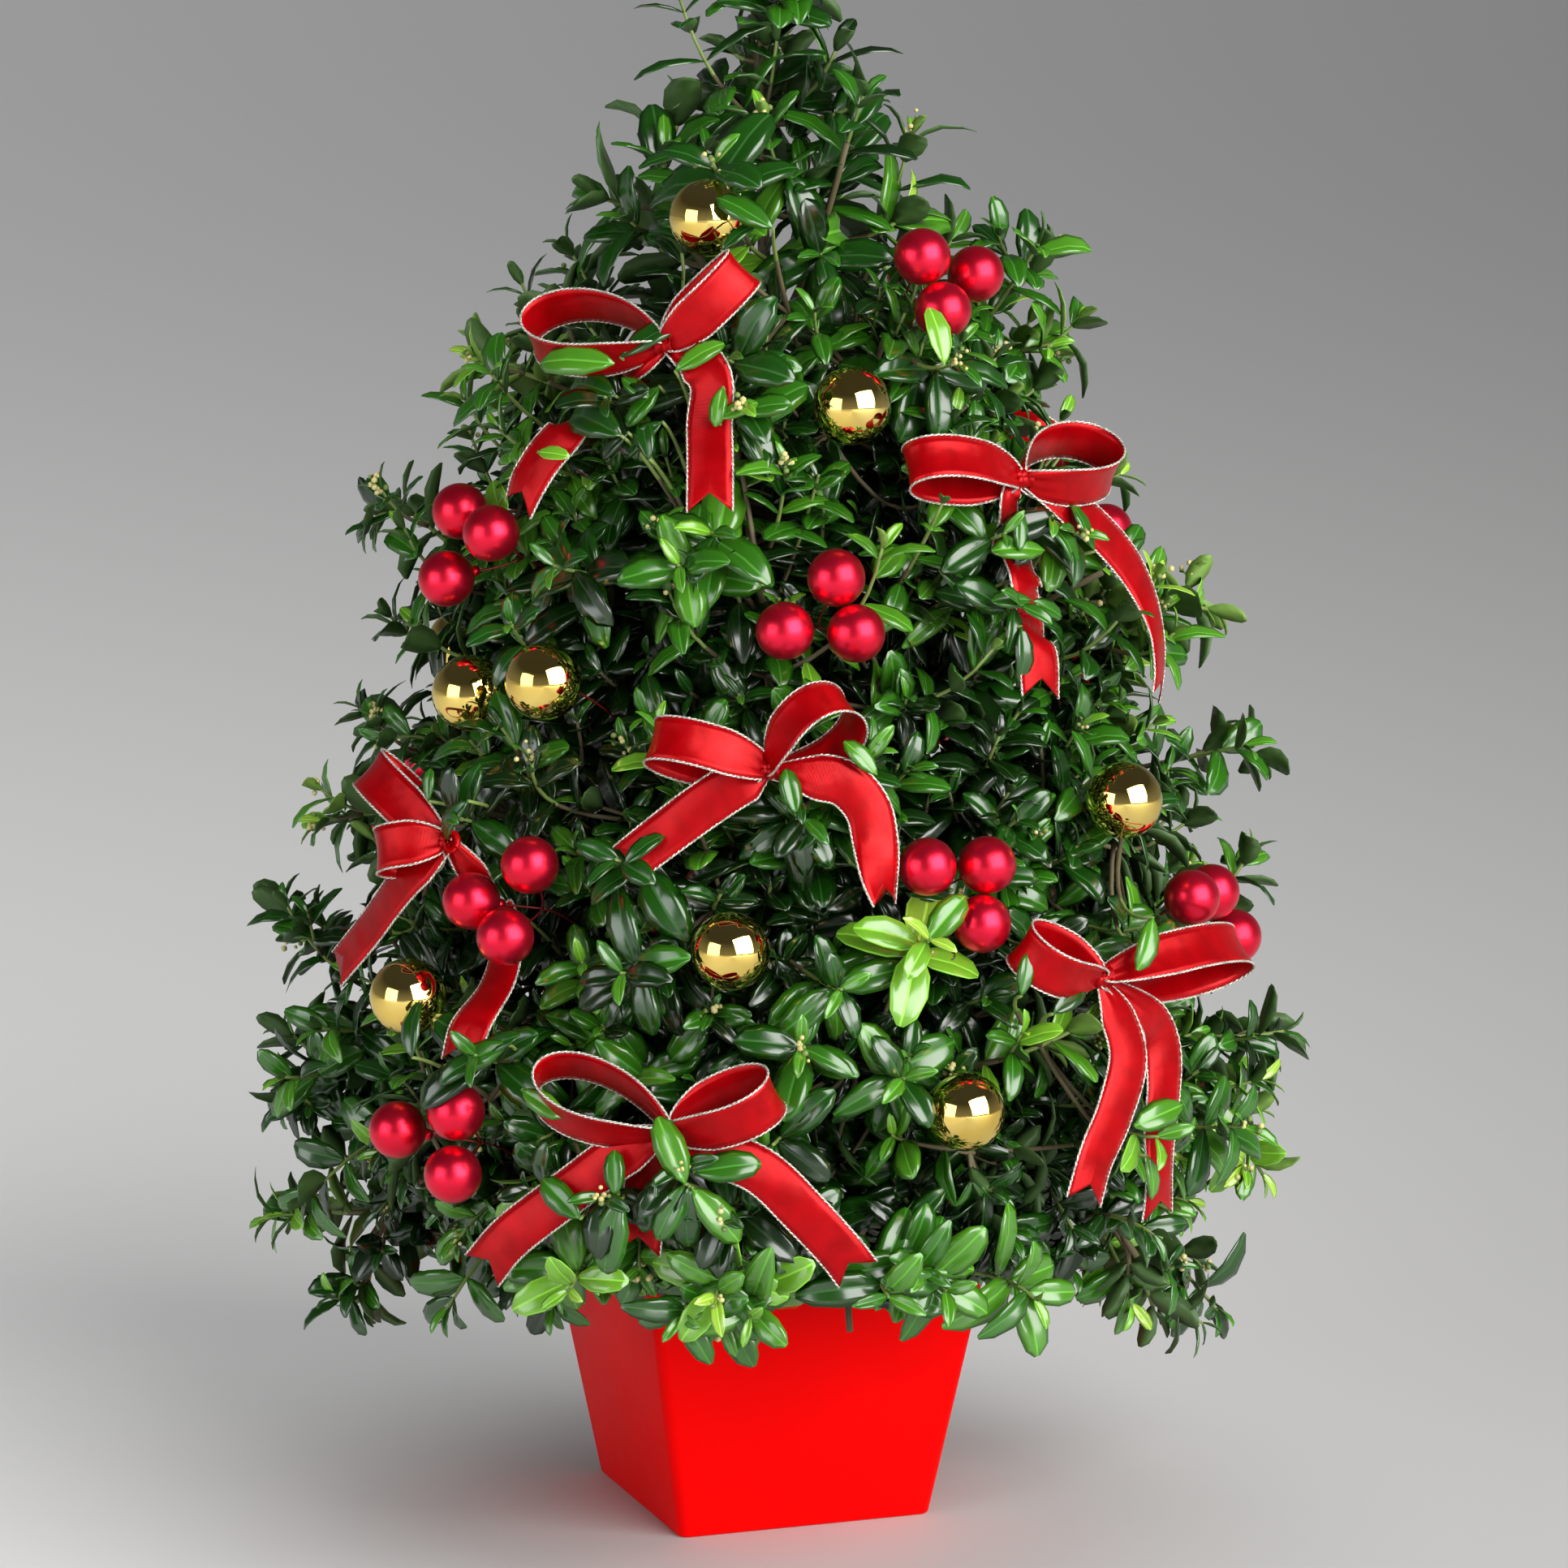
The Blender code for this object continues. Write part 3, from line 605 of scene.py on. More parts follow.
@dataclass
class Pot:
    """The tapered square pot and the soil in it."""

    height: float = 0.130
    base_side: float = 0.096
    rim_side: float = 0.140
    wall: float = 0.004
    floor: float = 0.006
    corner: float = 0.004
    soil_top: float = 0.118
    seat: float = 0.0003
    foot_rounding: float = 0.0012
    rim_rounding: float = 0.0011
    soil_cells: int = 34
    soil_waves: float = 0.0030
    crumbs: int = 520
    crumb_margin: float = 0.0035
    crumb_depth: float = 0.0012

    def half_side(self, height: float) -> float:
        """Half the pot's outer side at a height."""
        return (self.base_side + (self.rim_side - self.base_side) * height / self.height) / 2

    def soften(self, bm: BMesh, edges: Sequence[bmesh.types.BMEdge], radius: float, steps: int = 3) -> None:
        """Rounds edges off."""
        bmesh.ops.bevel(bm, geom=edges, offset=radius, segments=steps, profile=0.5, affect="EDGES", material=-1)

    def build_shell(self) -> Object:
        """The pot with a rounded rim and a softened foot."""
        bm = bmesh.new()
        for vert in bmesh.ops.create_cube(bm, size=1)["verts"]:
            height = self.height if vert.co.z > 0 else 0
            half = self.half_side(height)
            vert.co = Vector((copysign(half, vert.co.x), copysign(half, vert.co.y), height))
        corners = [e for e in bm.edges if abs(e.verts[0].co.z - e.verts[1].co.z) > self.height / 2]
        self.soften(bm, corners, self.corner, 8)
        foot = [e for e in bm.edges if all(v.co.z < self.seat for v in e.verts)]
        self.soften(bm, foot, self.foot_rounding)
        mouth = max(bm.faces, key=lambda face: face.calc_center_median().z)
        bmesh.ops.inset_region(bm, faces=[mouth], thickness=self.wall, use_even_offset=True)
        grown = bmesh.ops.extrude_face_region(bm, geom=[mouth])["geom"]
        shrink = (self.half_side(self.floor) - self.wall) / (self.rim_side / 2 - self.wall)
        for vert in (v for v in grown if isinstance(v, bmesh.types.BMVert)):
            vert.co = Vector((vert.co.x * shrink, vert.co.y * shrink, self.floor))
        bmesh.ops.delete(bm, geom=[mouth], context="FACES_ONLY")
        rim = [e for e in bm.edges if all(v.co.z > self.height - self.seat for v in e.verts)]
        rim = [e for e in rim if any(abs(f.normal.z) < 0.5 for f in e.link_faces)]
        self.soften(bm, rim, self.rim_rounding)
        bmesh.ops.recalc_face_normals(bm, faces=bm.faces)
        mesh = mesh_of(bm, "pot_shell", [RED_LACQUER.build()])
        mesh.set_sharp_from_angle(angle=radians(35))
        return piece(mesh, ["pot"])

    def build_soil(self, rng: random.Random) -> Object:
        """The soil: a plug with an uneven top, strewn with crumbs."""
        bm = bmesh.new()
        half = self.half_side(self.soil_top) - self.wall - 2 * self.seat
        bmesh.ops.create_grid(bm, x_segments=self.soil_cells, y_segments=self.soil_cells, size=half)
        top = bm.faces[:]
        grown = bmesh.ops.extrude_face_region(bm, geom=top)["geom"]
        bmesh.ops.delete(bm, geom=top, context="FACES_ONLY")
        raised = {item for item in grown if isinstance(item, bmesh.types.BMVert)}
        shrink = (self.half_side(self.floor) - self.wall - 2 * self.seat) / half
        for vert in bm.verts:
            if vert in raised:
                inner = max(abs(vert.co.x), abs(vert.co.y)) < half - 0.002
                vert.co.z = self.soil_top - (rng.uniform(0.0, self.soil_waves) if inner else 0.0)
            else:
                vert.co = Vector((vert.co.x * shrink, vert.co.y * shrink, self.floor + self.seat))
        rim = [v for v in bm.verts if v not in raised]
        bmesh.ops.holes_fill(bm, edges=[e for e in bm.edges if e.is_boundary], sides=0)
        bmesh.ops.delete(bm, geom=[v for v in rim if not v.link_faces], context="VERTS")
        bmesh.ops.recalc_face_normals(bm, faces=bm.faces)
        bundle = Bundle()
        bundle.add(Shape.of(bm))
        crumb = pebble()
        reach = half - self.crumb_margin
        for _ in range(self.crumbs):
            scale = np.array([rng.uniform(0.5, 1.5), rng.uniform(0.5, 1.5), rng.uniform(0.4, 0.9)])
            size = rng.uniform(0.0006, 0.0022)
            turn = np.array(Matrix.Rotation(rng.uniform(0, 6.28), 3, "Z"))
            place = np.array([rng.uniform(-reach, reach), rng.uniform(-reach, reach), self.soil_top - self.crumb_depth])
            bundle.add(crumb, crumb.points * scale * size @ turn.T + place)
        return piece(bundle.mesh("potting_mix", [POTTING_MIX.build()]), ["potting_soil"])


# ---- trunk, limbs and the crown's skin


@dataclass
class Trunk:
    """The trunk, which bows to one side and comes back."""

    foot: float = 0.1183
    tip: float = 0.500
    bow: float = 0.006
    bow_azimuth: float = radians(-19.5)
    radius: float = 0.0062
    tip_radius: float = 0.0019
    flare: float = 0.0050
    flare_height: float = 0.014

    def share(self, height: float) -> float:
        """How far up the trunk a height is, from 0 at its foot to 1 at its tip and beyond."""
        return min(max((height - self.foot) / (self.tip - self.foot), 0.0), 1.0)

    def round(self, azimuth: float, radius: float, height: float) -> Vector:
        """A point from its azimuth in radians, its radius from the trunk's axis and its height."""
        bow = self.bow * (1 - cos(2 * pi * self.share(height))) / 2
        return polar(self.bow_azimuth, bow, 0) + polar(azimuth, radius, height)

    def radius_at(self, height: float) -> float:
        """The trunk's radius at a height, with its flare at the soil."""
        flare = self.flare * exp(-(height - self.foot) / self.flare_height)
        return self.radius + (self.tip_radius - self.radius) * self.share(height) + flare


@dataclass(frozen=True)
class Tier:
    """One tier of limbs. Elbow and tip are each a radius and a height; bough is a share of the limb."""

    name: str
    count: int
    turn: float
    foot: float
    elbow: Pair
    tip: Pair
    bough: float = 0.0


TIERS = (
    Tier("skirt", 7, turn=8, foot=0.150, elbow=(0.100, 0.168), tip=(0.150, 0.100), bough=0.44),
    Tier("lower", 6, turn=36, foot=0.187, elbow=(0.090, 0.200), tip=(0.158, 0.172), bough=0.42),
    Tier("middle", 6, turn=5, foot=0.238, elbow=(0.075, 0.250), tip=(0.142, 0.262), bough=0.36),
    Tier("upper", 5, turn=32, foot=0.298, elbow=(0.055, 0.308), tip=(0.116, 0.347)),
    Tier("shoulder", 4, turn=10, foot=0.362, elbow=(0.042, 0.375), tip=(0.086, 0.428)),
    Tier("top", 3, turn=50, foot=0.428, elbow=(0.026, 0.446), tip=(0.046, 0.494)),
)


@dataclass
class Limb:
    """One limb: its name, its curve and the share of it that is a bough."""

    name: str
    curve: list[Vector]
    bough: float


@dataclass
class Limbs:
    """Every limb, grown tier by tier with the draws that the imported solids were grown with."""

    trunk: Trunk
    bough_radius: float = 0.0026
    stem_radius: float = 0.0015
    seat: float = 0.0003
    stagger: float = 0.005
    wander: float = 0.007
    steps: int = 60
    leader_tip: Triple = (-0.002, 0.006, 0.532)
    leader_bend: float = 0.020

    def curve(self, tier: Tier, azimuth: float, rng: random.Random) -> list[Vector]:
        """One limb's curve, from the trunk's bark to its tip."""
        foot_height = tier.foot + rng.uniform(-self.stagger, self.stagger)
        foot_radius = self.bough_radius if tier.bough else self.stem_radius
        rise = (tier.elbow[1] - foot_height) / tier.elbow[0]
        reach = self.trunk.radius_at(foot_height) + self.seat + foot_radius * abs(rise)
        start = self.trunk.round(azimuth, reach, foot_height)
        wander = Vector([rng.uniform(-self.wander, self.wander) for _ in range(3)])
        tip = self.trunk.round(azimuth, *tier.tip) + wander
        return bezier(start, self.trunk.round(azimuth, *tier.elbow), tip, self.steps)

    def grow(self, rng: random.Random) -> list[Limb]:
        """All limbs, and the leader that goes on from the trunk's tip."""
        limbs = []
        for tier in TIERS:
            for index in range(tier.count):
                azimuth = radians(tier.turn) + 2 * pi * index / tier.count
                limbs.append(Limb(f"{tier.name}_{index + 1}", self.curve(tier, azimuth, rng), tier.bough))
        foot = self.trunk.round(0, 0, self.trunk.tip + self.seat)
        leader = bezier(foot, foot + Vector((0, 0, self.leader_bend)), Vector(self.leader_tip), self.steps)
        return [*limbs, Limb("leader", leader, 0.0)]


@dataclass
class Crown:
    """The crown's skin: a cone that swells like a flame, above a skirt that droops round the pot."""

    trunk: Trunk
    tip: float = 0.557
    widest_height: float = 0.150
    widest_radius: float = 0.184
    power: float = 0.50
    skirt_radius: float = 0.105
    skirt_drop: float = 0.092
    skirt_tuck: float = radians(95)
    steps: int = 400
    radii: Rows = field(init=False)
    heights: Rows = field(init=False)

    def __post_init__(self) -> None:
        """Lays out the skin's outline, from the crown's tip down and round under the skirt."""
        steps = np.linspace(0, 1, self.steps)
        angle = self.skirt_tuck * steps[1:]
        cone = self.tip - (self.tip - self.widest_height) * steps
        skirt = self.skirt_radius + (self.widest_radius - self.skirt_radius) * np.cos(angle)
        self.radii = np.concatenate([self.widest_radius * steps**self.power, skirt])
        self.heights = np.concatenate([cone, self.widest_height - self.skirt_drop * np.sin(angle)])

    def spots(self, count: int, spread: float, rng: random.Random, start: int = 0) -> Spots:
        """Spots spread evenly over the skin on a spiral.

        Args:
            count: How many there are.
            spread: How far each may stray.
            rng: Where the straying comes from.
            start: How many golden angles the spiral is turned by.

        Returns:
            Each spot, and the way that faces out there.
        """
        run, fall = np.diff(self.radii), np.diff(self.heights)
        length = np.hypot(run, fall)
        area = np.concatenate([[0], np.cumsum(length * (self.radii[1:] + self.radii[:-1]))])
        made = []
        for index in range(count):
            place = np.interp((index + 0.5) / count * area[-1], area, np.arange(len(area)))
            low = min(int(place), len(run) - 1)
            azimuth = (index + start) * GOLDEN_ANGLE
            beyond = place - low
            radius, height = self.radii[low] + run[low] * beyond, self.heights[low] + fall[low] * beyond
            outward = polar(azimuth, -fall[low] / length[low], run[low] / length[low])
            stray = Vector([rng.uniform(-spread, spread) for _ in range(3)])
            made.append((self.trunk.round(azimuth, radius, height) + stray, outward))
        return made

    def outward(self, azimuth: float, height: float) -> Vector:
        """The direction that faces out of the skin at an azimuth in degrees and a height."""
        place = np.interp(-height, -self.heights, np.arange(len(self.heights)))
        low = min(max(int(place), 1), len(self.heights) - 2)
        run = self.radii[low + 1] - self.radii[low - 1]
        fall = self.heights[low + 1] - self.heights[low - 1]
        return polar(radians(azimuth), -fall, run).normalized()

    def at(self, azimuth: float, height: float, lift: float = 0.0) -> Vector:
        """A point on the skin.

        Args:
            azimuth: In degrees.
            height: The height on the skin.
            lift: How far the point stands off the skin, in millimetres.

        Returns:
            The point.
        """
        radius = float(np.interp(-height, -self.heights, self.radii))
        spot = self.trunk.round(radians(azimuth), radius, height)
        return spot + self.outward(azimuth, height) * (lift / 1000)

    def standing(self, points: Rows) -> Rows:
        """How points stand on the crown: each one's azimuth from -360 to 0, height on the skin, and lift."""
        around = points - np.array([self.trunk.round(0, 0, height) for height in points[:, 2]])
        radius = np.hypot(around[:, 0], around[:, 1])
        apart = np.hypot(radius[:, None] - self.radii, points[:, 2:] - self.heights)
        nearest = np.argmin(apart, axis=1)
        run, fall = np.gradient(self.radii)[nearest], np.gradient(self.heights)[nearest]
        out, up = radius - self.radii[nearest], points[:, 2] - self.heights[nearest]
        height = self.heights[nearest] + fall * (out * run + up * fall) / (run**2 + fall**2)
        lift = (up * run - out * fall) / np.hypot(run, fall) * 1000
        return np.column_stack([-(np.degrees(np.arctan2(-around[:, 1], around[:, 0])) % 360), height, lift])


# Long shoots that stand out of the skin: azimuth in degrees, height and radius of their tips.
LONG_SHOOTS = (
    (-19, 0.330, 0.178), (-12, 0.278, 0.192), (-24, 0.245, 0.190), (-19, 0.176, 0.204), (-27, 0.128, 0.196),
    (-15, 0.068, 0.182), (-30, 0.048, 0.158), (-19, 0.462, 0.112), (-14, 0.425, 0.118),
    (161, 0.371, 0.144), (156, 0.292, 0.148), (164, 0.256, 0.164), (160, 0.222, 0.186), (166, 0.152, 0.188),
    (158, 0.112, 0.185), (163, 0.072, 0.158), (150, 0.047, 0.118), (161, 0.420, 0.116),
    (70, 0.300, 0.162), (110, 0.190, 0.196), (60, 0.110, 0.192), (95, 0.400, 0.120),
    (-110, 0.150, 0.192), (-70, 0.205, 0.186), (-95, 0.300, 0.162), (-130, 0.100, 0.182),
    (-20, 0.553, 0.027), (108, 0.556, 0.008),
)


@dataclass
class Bark:
    """Skins with the bark's relief for the trunk and the boughs."""

    material: Material
    ridge_share: float = 0.10
    knot_share: float = 0.22
    trunk_rings: int = 110
    trunk_sides: int = 18
    bough_rings: int = 22
    bough_sides: int = 10

    def relief(
        self, points: Sequence[Vector], radius: Callable[[float], float], sides: int, rng: random.Random
    ) -> BMesh:
        """A limb with ridges that run along it and a swelling here and there.

        Args:
            points: Its line.
            radius: Gives the radius at a share of the way along.
            sides: How many sides each ring has.
            rng: Where ridges and swellings come from.

        Returns:
            Its closed skin.
        """
        ridges = [(rng.randint(3, 7), rng.uniform(0, 6.28), rng.uniform(2, 9), rng.uniform(0.4, 1)) for _ in range(5)]
        knots = [(rng.random(), rng.uniform(0, 6.28), rng.uniform(0.01, 0.03)) for _ in range(7)]

        def reach(step: int, turn: float) -> float:
            """The radius with the relief on it."""
            share = step / (len(points) - 1)
            grain = sum(size * sin(n * turn + phase + pace * share) for n, phase, pace, size in ridges)
            swell = sum(
                exp(-(((share - place) / long) ** 2)) * max(0.0, cos(turn - facing)) ** 2
                for place, facing, long in knots
            )
            return radius(share) * (1 + self.ridge_share * grain / 2 - self.ridge_share + self.knot_share * swell)

        return tube(np.array(points), sides, reach)

    def build_trunk(self, trunk: Trunk, rng: random.Random) -> Object:
        """The trunk."""
        last = self.trunk_rings - 1
        shares = [(ring / last) ** 1.15 for ring in range(self.trunk_rings)]
        heights = [trunk.foot + (trunk.tip - trunk.foot) * share for share in shares]
        points = [trunk.round(0, 0, height) for height in heights]
        bm = self.relief(points, lambda share: trunk.radius_at(heights[round(share * last)]), self.trunk_sides, rng)
        for face in bm.faces:
            face.material_index = 0
        return piece(mesh_of(bm, "trunk_bark", [self.material]), ["trunk"])

    def build_boughs(self, limbs: Sequence[Limb], sizes: Limbs, rng: random.Random) -> Object:
        """Every bough, joined."""
        bundle = Bundle()
        names = []
        for limb in (limb for limb in limbs if limb.bough):
            points = stretch(limb.curve, 0, limb.bough, self.bough_rings)
            taper = sizes.stem_radius - sizes.bough_radius
            bark = self.relief(points, lambda share: sizes.bough_radius + taper * share, self.bough_sides, rng)
            bundle.add(Shape.of(bark, parted=False))
            names.append(f"bough_{limb.name}")
        return piece(bundle.mesh("bough_bark", [self.material]), names)


# ---- leaves


class Part(IntEnum):
    """The parts of a leaf that take their own material."""

    BLADE = 0
    RIB = 1
    UNDER = 2


class Section(Enum):
    """How finely a leaf's section is drawn. Each holds its corners across one half and their swell."""

    PLAIN = ((0.0, 0.0), (1.0, 0.0))
    LOBED = ((0.0, 0.0), (0.52, 1.0), (1.0, 0.0))
    EDGED = ((0.0, 0.0), (0.52, 1.0), (0.90, 0.35), (1.0, 0.0))


@dataclass(frozen=True)
class LeafForm:
    """One form of leaf, lying along +Y with its upper side to +Z, one unit long."""

    width: float
    arch: float
    fold: float
    swell: float
    recurve: float = 0.0
    twist: float = 0.0
    section: Section = Section.LOBED
    rib: float = 0.016
    keel: float = 0.016
    stations: tuple = ((0, 0.03), (0.12, 0.23), (0.34, 0.455), (0.62, 0.5), (0.88, 0.365), (1, 0.10))

    def ring(self, share: float, half: float) -> list[Vector]:
        """The leaf's section at a share of its length.

        Args:
            share: How far along the leaf the section lies.
            half: Half the leaf's width there.

        Returns:
            The section's corners: the upper side from left to right, then the keel.
        """
        full = sin(pi * share) ** 0.5 if 0 < share < 1 else 0.0
        right = [(max(place * half, min(self.rib, half * 0.4)), swell) for place, swell in self.section.value]
        left = [(-place, swell) for place, swell in reversed(right) if place]
        drop = -self.arch * share**2 - self.recurve * max(0.0, share - 0.6) ** 2
        turn = self.twist * share
        ring = []
        for x, swell in left + right:
            z = self.fold * abs(x) + self.swell * swell * full
            ring.append(Vector((x * cos(turn) - z * sin(turn), share, drop + z + x * sin(turn))))
        ring.append(Vector((0, share, drop - self.keel * (0.3 + full))))
        return ring

    def shape(self) -> Shape:
        """The leaf as a shape whose parts are those of Part."""
        blade = {
            Section.PLAIN: [Part.BLADE] * 2,
            Section.LOBED: [Part.BLADE, Part.BLADE, Part.RIB, Part.BLADE, Part.BLADE],
            Section.EDGED: [Part.RIB, Part.BLADE, Part.BLADE, Part.RIB, Part.BLADE, Part.BLADE, Part.RIB],
        }
        parts = [*blade[self.section], Part.UNDER, Part.UNDER]
        bm = loft([self.ring(share, half * self.width) for share, half in self.stations])
        for face in bm.faces:
            face.material_index = parts[face.material_index]
        return Shape.of(bm)


LEAF_FORMS = (
    LeafForm(width=0.52, arch=0.12, fold=0.05, swell=0.052, recurve=0.7),
    LeafForm(width=0.50, arch=0.26, fold=0.12, swell=0.046, recurve=1.0, twist=0.18),
    LeafForm(width=0.55, arch=0.04, fold=0.00, swell=0.054, recurve=0.6, twist=-0.14),
    LeafForm(width=0.47, arch=0.48, fold=0.20, swell=0.042, recurve=1.1, twist=0.28),
    LeafForm(width=0.50, arch=-0.06, fold=0.22, swell=0.044, recurve=1.3, twist=-0.25),
)
EDGED_FORM = LeafForm(width=0.50, arch=0.12, fold=0.10, swell=0.040, recurve=0.6, twist=0.1, section=Section.EDGED)
YOUNG_FORM = LeafForm(width=0.38, arch=0.14, fold=0.34, swell=0.030, recurve=0.7, twist=-0.2)
INNER_FORM = LeafForm(
    width=0.50, arch=0.18, fold=0.10, swell=0.0, section=Section.PLAIN, rib=0.0,
    stations=((0.0, 0.03), (0.22, 0.38), (0.55, 0.5), (0.84, 0.34), (1.0, 0.03)),
)
ALL_FORMS = (*LEAF_FORMS, EDGED_FORM, YOUNG_FORM, INNER_FORM)
EDGED, YOUNG_SHAPE, INNER = len(LEAF_FORMS), len(LEAF_FORMS) + 1, len(LEAF_FORMS) + 2


@dataclass
class Leaf:
    """One leaf: where its foot is, the way it points, the way its upper side faces, its size and its looks."""

    foot: Rows
    along: Rows
    faces: Rows
    length: float
    tone: Tone
    form: int
    broad: float = 1.0

    def matrix(self) -> Rows:
        """The three directions of the leaf's own X, Y and Z, as columns, scaled."""
        along = self.along / np.linalg.norm(self.along)
        across = np.cross(along, self.faces)
        across /= max(np.linalg.norm(across), 1e-9)
        return np.column_stack([across * self.broad, along, np.cross(across, along)]) * self.length

    def outline(self) -> list[Vector]:
        """Points round the leaf: near its foot, one margin, its tip, the other margin and its foot again."""
        arch = ALL_FORMS[self.form].arch
        local = np.array([
            [0, 0.12, 0], [0.24, 0.45, -arch * 0.2], [0.17, 0.8, -arch * 0.64], [0, 1.0, -arch],
            [-0.17, 0.8, -arch * 0.64], [-0.24, 0.45, -arch * 0.2], [0, 0.12, 0],
        ])
        return [Vector(point) for point in local @ self.matrix().T + self.foot]


@dataclass(frozen=True)
class Habit:
    """How one kind of shoot grows.

    Depth is how far under the crown's skin it ends, reach how long it is, size what its leaves are to the usual
    length, bright how much brighter its greens are (newer growth where above nought, painted shade for the shoots
    inside the crown where below), and spread how many degrees wider than usual its leaves stand.
    """

    share: float = 0.0
    depth: Pair = (0.0, 0.0)
    reach: Pair = (0.0, 0.0)
    pairs: int = 0
    spacing: float = 0.0
    size: float = 1.0
    bright: float = 0.0
    budding: float = 0.0
    stray: float = 0.0
    spread: float = 0.0
    inner: bool = False


class Growth(Enum):
    """The kinds of shoot: from deep in the crown to its skin and out of it, and those set one by one."""

    # The shoots inside the crown, deep, shaded and main, have a negative bright: their greens are darkened as painted
    # shade.
    DEEP = Habit(
        0.10, (0.048, 0.080), (0.028, 0.050), 5, spacing=0.0090, size=1.45, bright=-2.5, stray=0.50, inner=True
    )
    SHADED = Habit(
        0.30, (0.022, 0.044), (0.026, 0.044), 5, spacing=0.0086, size=1.10, bright=-1.6, stray=0.34, inner=True
    )
    OUTER = Habit(0.47, (0.003, 0.022), (0.036, 0.058), 6, spacing=0.0080, budding=0.15, stray=0.24)
    LIVELY = Habit(0.13, (-0.006, 0.006), (0.048, 0.080), 7, spacing=0.0110, bright=0.8, budding=0.12, stray=0.30)
    MAIN = Habit(depth=(0.027, 0.027), pairs=3, spacing=0.010, size=1.05, bright=-1.0, inner=True)
    LONG = Habit(depth=(0.014, 0.014), pairs=7, spacing=0.0120, size=1.10, bright=1.2, budding=0.2)
    SIDE = Habit(pairs=3, spacing=0.0075, size=0.95, bright=1.2, budding=0.1)
    CREST = Habit(depth=(0.010, 0.010), pairs=5, spacing=0.0145, size=1.30, bright=0.2, budding=0.1)
    STALK = Habit()
    ROSETTE = Habit(reach=(0.030, 0.030), pairs=5, spacing=0.0050, size=1.20, budding=0.35, spread=12)


@dataclass
class Shoot:
    """One shoot: the limb that it grows on, its line, and how it is dressed."""

    limb: int
    points: list[Vector]
    growth: Growth
    tone: Tone
    base_radius: float = 0.0010
    tip_radius: float = 0.0006
    budding: bool = False

    def length(self) -> float:
        """How long the shoot is."""
        return sum((b - a).length for a, b in zip(self.points, self.points[1:]))


@dataclass
class Clearance:
    """Keeps shoots and leaves out of the pot and off the bows and balls."""

    pot: Pot
    decorations: BVHTree
    overgrown: list[tuple[Vector, float]]
    pot_gap: float = 0.0015
    gap: float = 0.0010
    in_front: float = 0.050
    dip: float = -0.12

    def off_pot(self, points: Sequence[Vector]) -> bool:
        """Whether all the points are outside the pot."""
        gap, pot = self.pot_gap, self.pot
        return all(p.z >= pot.height + gap or max(abs(p.x), abs(p.y)) >= pot.half_side(p.z) + gap for p in points)

    def crosses(self, points: Sequence[Vector]) -> bool:
        """Whether a line through the points passes through a decoration or too close to one."""
        steps = ((a, b - a) for a, b in zip(points, points[1:]))
        if any(self.decorations.ray_cast(a, step.normalized(), step.length)[0] for a, step in steps):
            return True
        return any(self.decorations.find_nearest(p, self.gap)[0] for p in points[1:])

    def hides(self, point: Vector) -> bool:
        """Whether a point stands right in front of a decoration that leaves don't lie over, seen from outside."""
        inward = Vector((point.x, point.y, 0)).normalized() * -1 + UP * self.dip
        met = self.decorations.ray_cast(point, inward.normalized(), self.in_front)[0]
        return bool(met) and all((met - place).length > reach for place, reach in self.overgrown)


# Drifts of newer, brighter growth: azimuth in degrees, height on the skin, reach in metres, and how much newer.
FRESH_DRIFTS = (
    (-20, 0.440, 0.045, 2.4), (-173, 0.490, 0.040, 1.3), (-167, 0.393, 0.040, 1.5), (-40, 0.150, 0.050, 1.5),
    (-46, 0.104, 0.045, 1.8), (-22, 0.322, 0.040, 1.8), (-123, 0.336, 0.030, 1.4), (-134, 0.110, 0.030, 0.3),
    (60, 0.250, 0.045, 1.8), (120, 0.400, 0.045, 1.6), (20, 0.150, 0.050, 1.6),
)
# Upright shoots with large leaves that make the crest: azimuth in degrees, height and radius of their tips.
CREST_SHOOTS = (
    (150, 0.536, 0.010), (-30, 0.538, 0.027), (-34, 0.518, 0.034), (-179, 0.503, 0.036), (145, 0.516, 0.030),
    (169, 0.486, 0.058), (-172, 0.478, 0.052), (-45, 0.480, 0.056), (-20, 0.470, 0.068), (-83, 0.494, 0.032),
    (-120, 0.478, 0.050), (60, 0.526, 0.020), (90, 0.498, 0.042), (40, 0.482, 0.056), (120, 0.476, 0.060),
    (-90, 0.468, 0.062), (15, 0.504, 0.038),
)
# Hollows in the skin: azimuth in degrees, height, reach in metres, and depth in millimetres.
HOLLOWS = (
    (160, 0.235, 0.075, 20), (160, 0.385, 0.028, 12), (-20, 0.435, 0.045, 14), (160, 0.470, 0.030, 8),
)
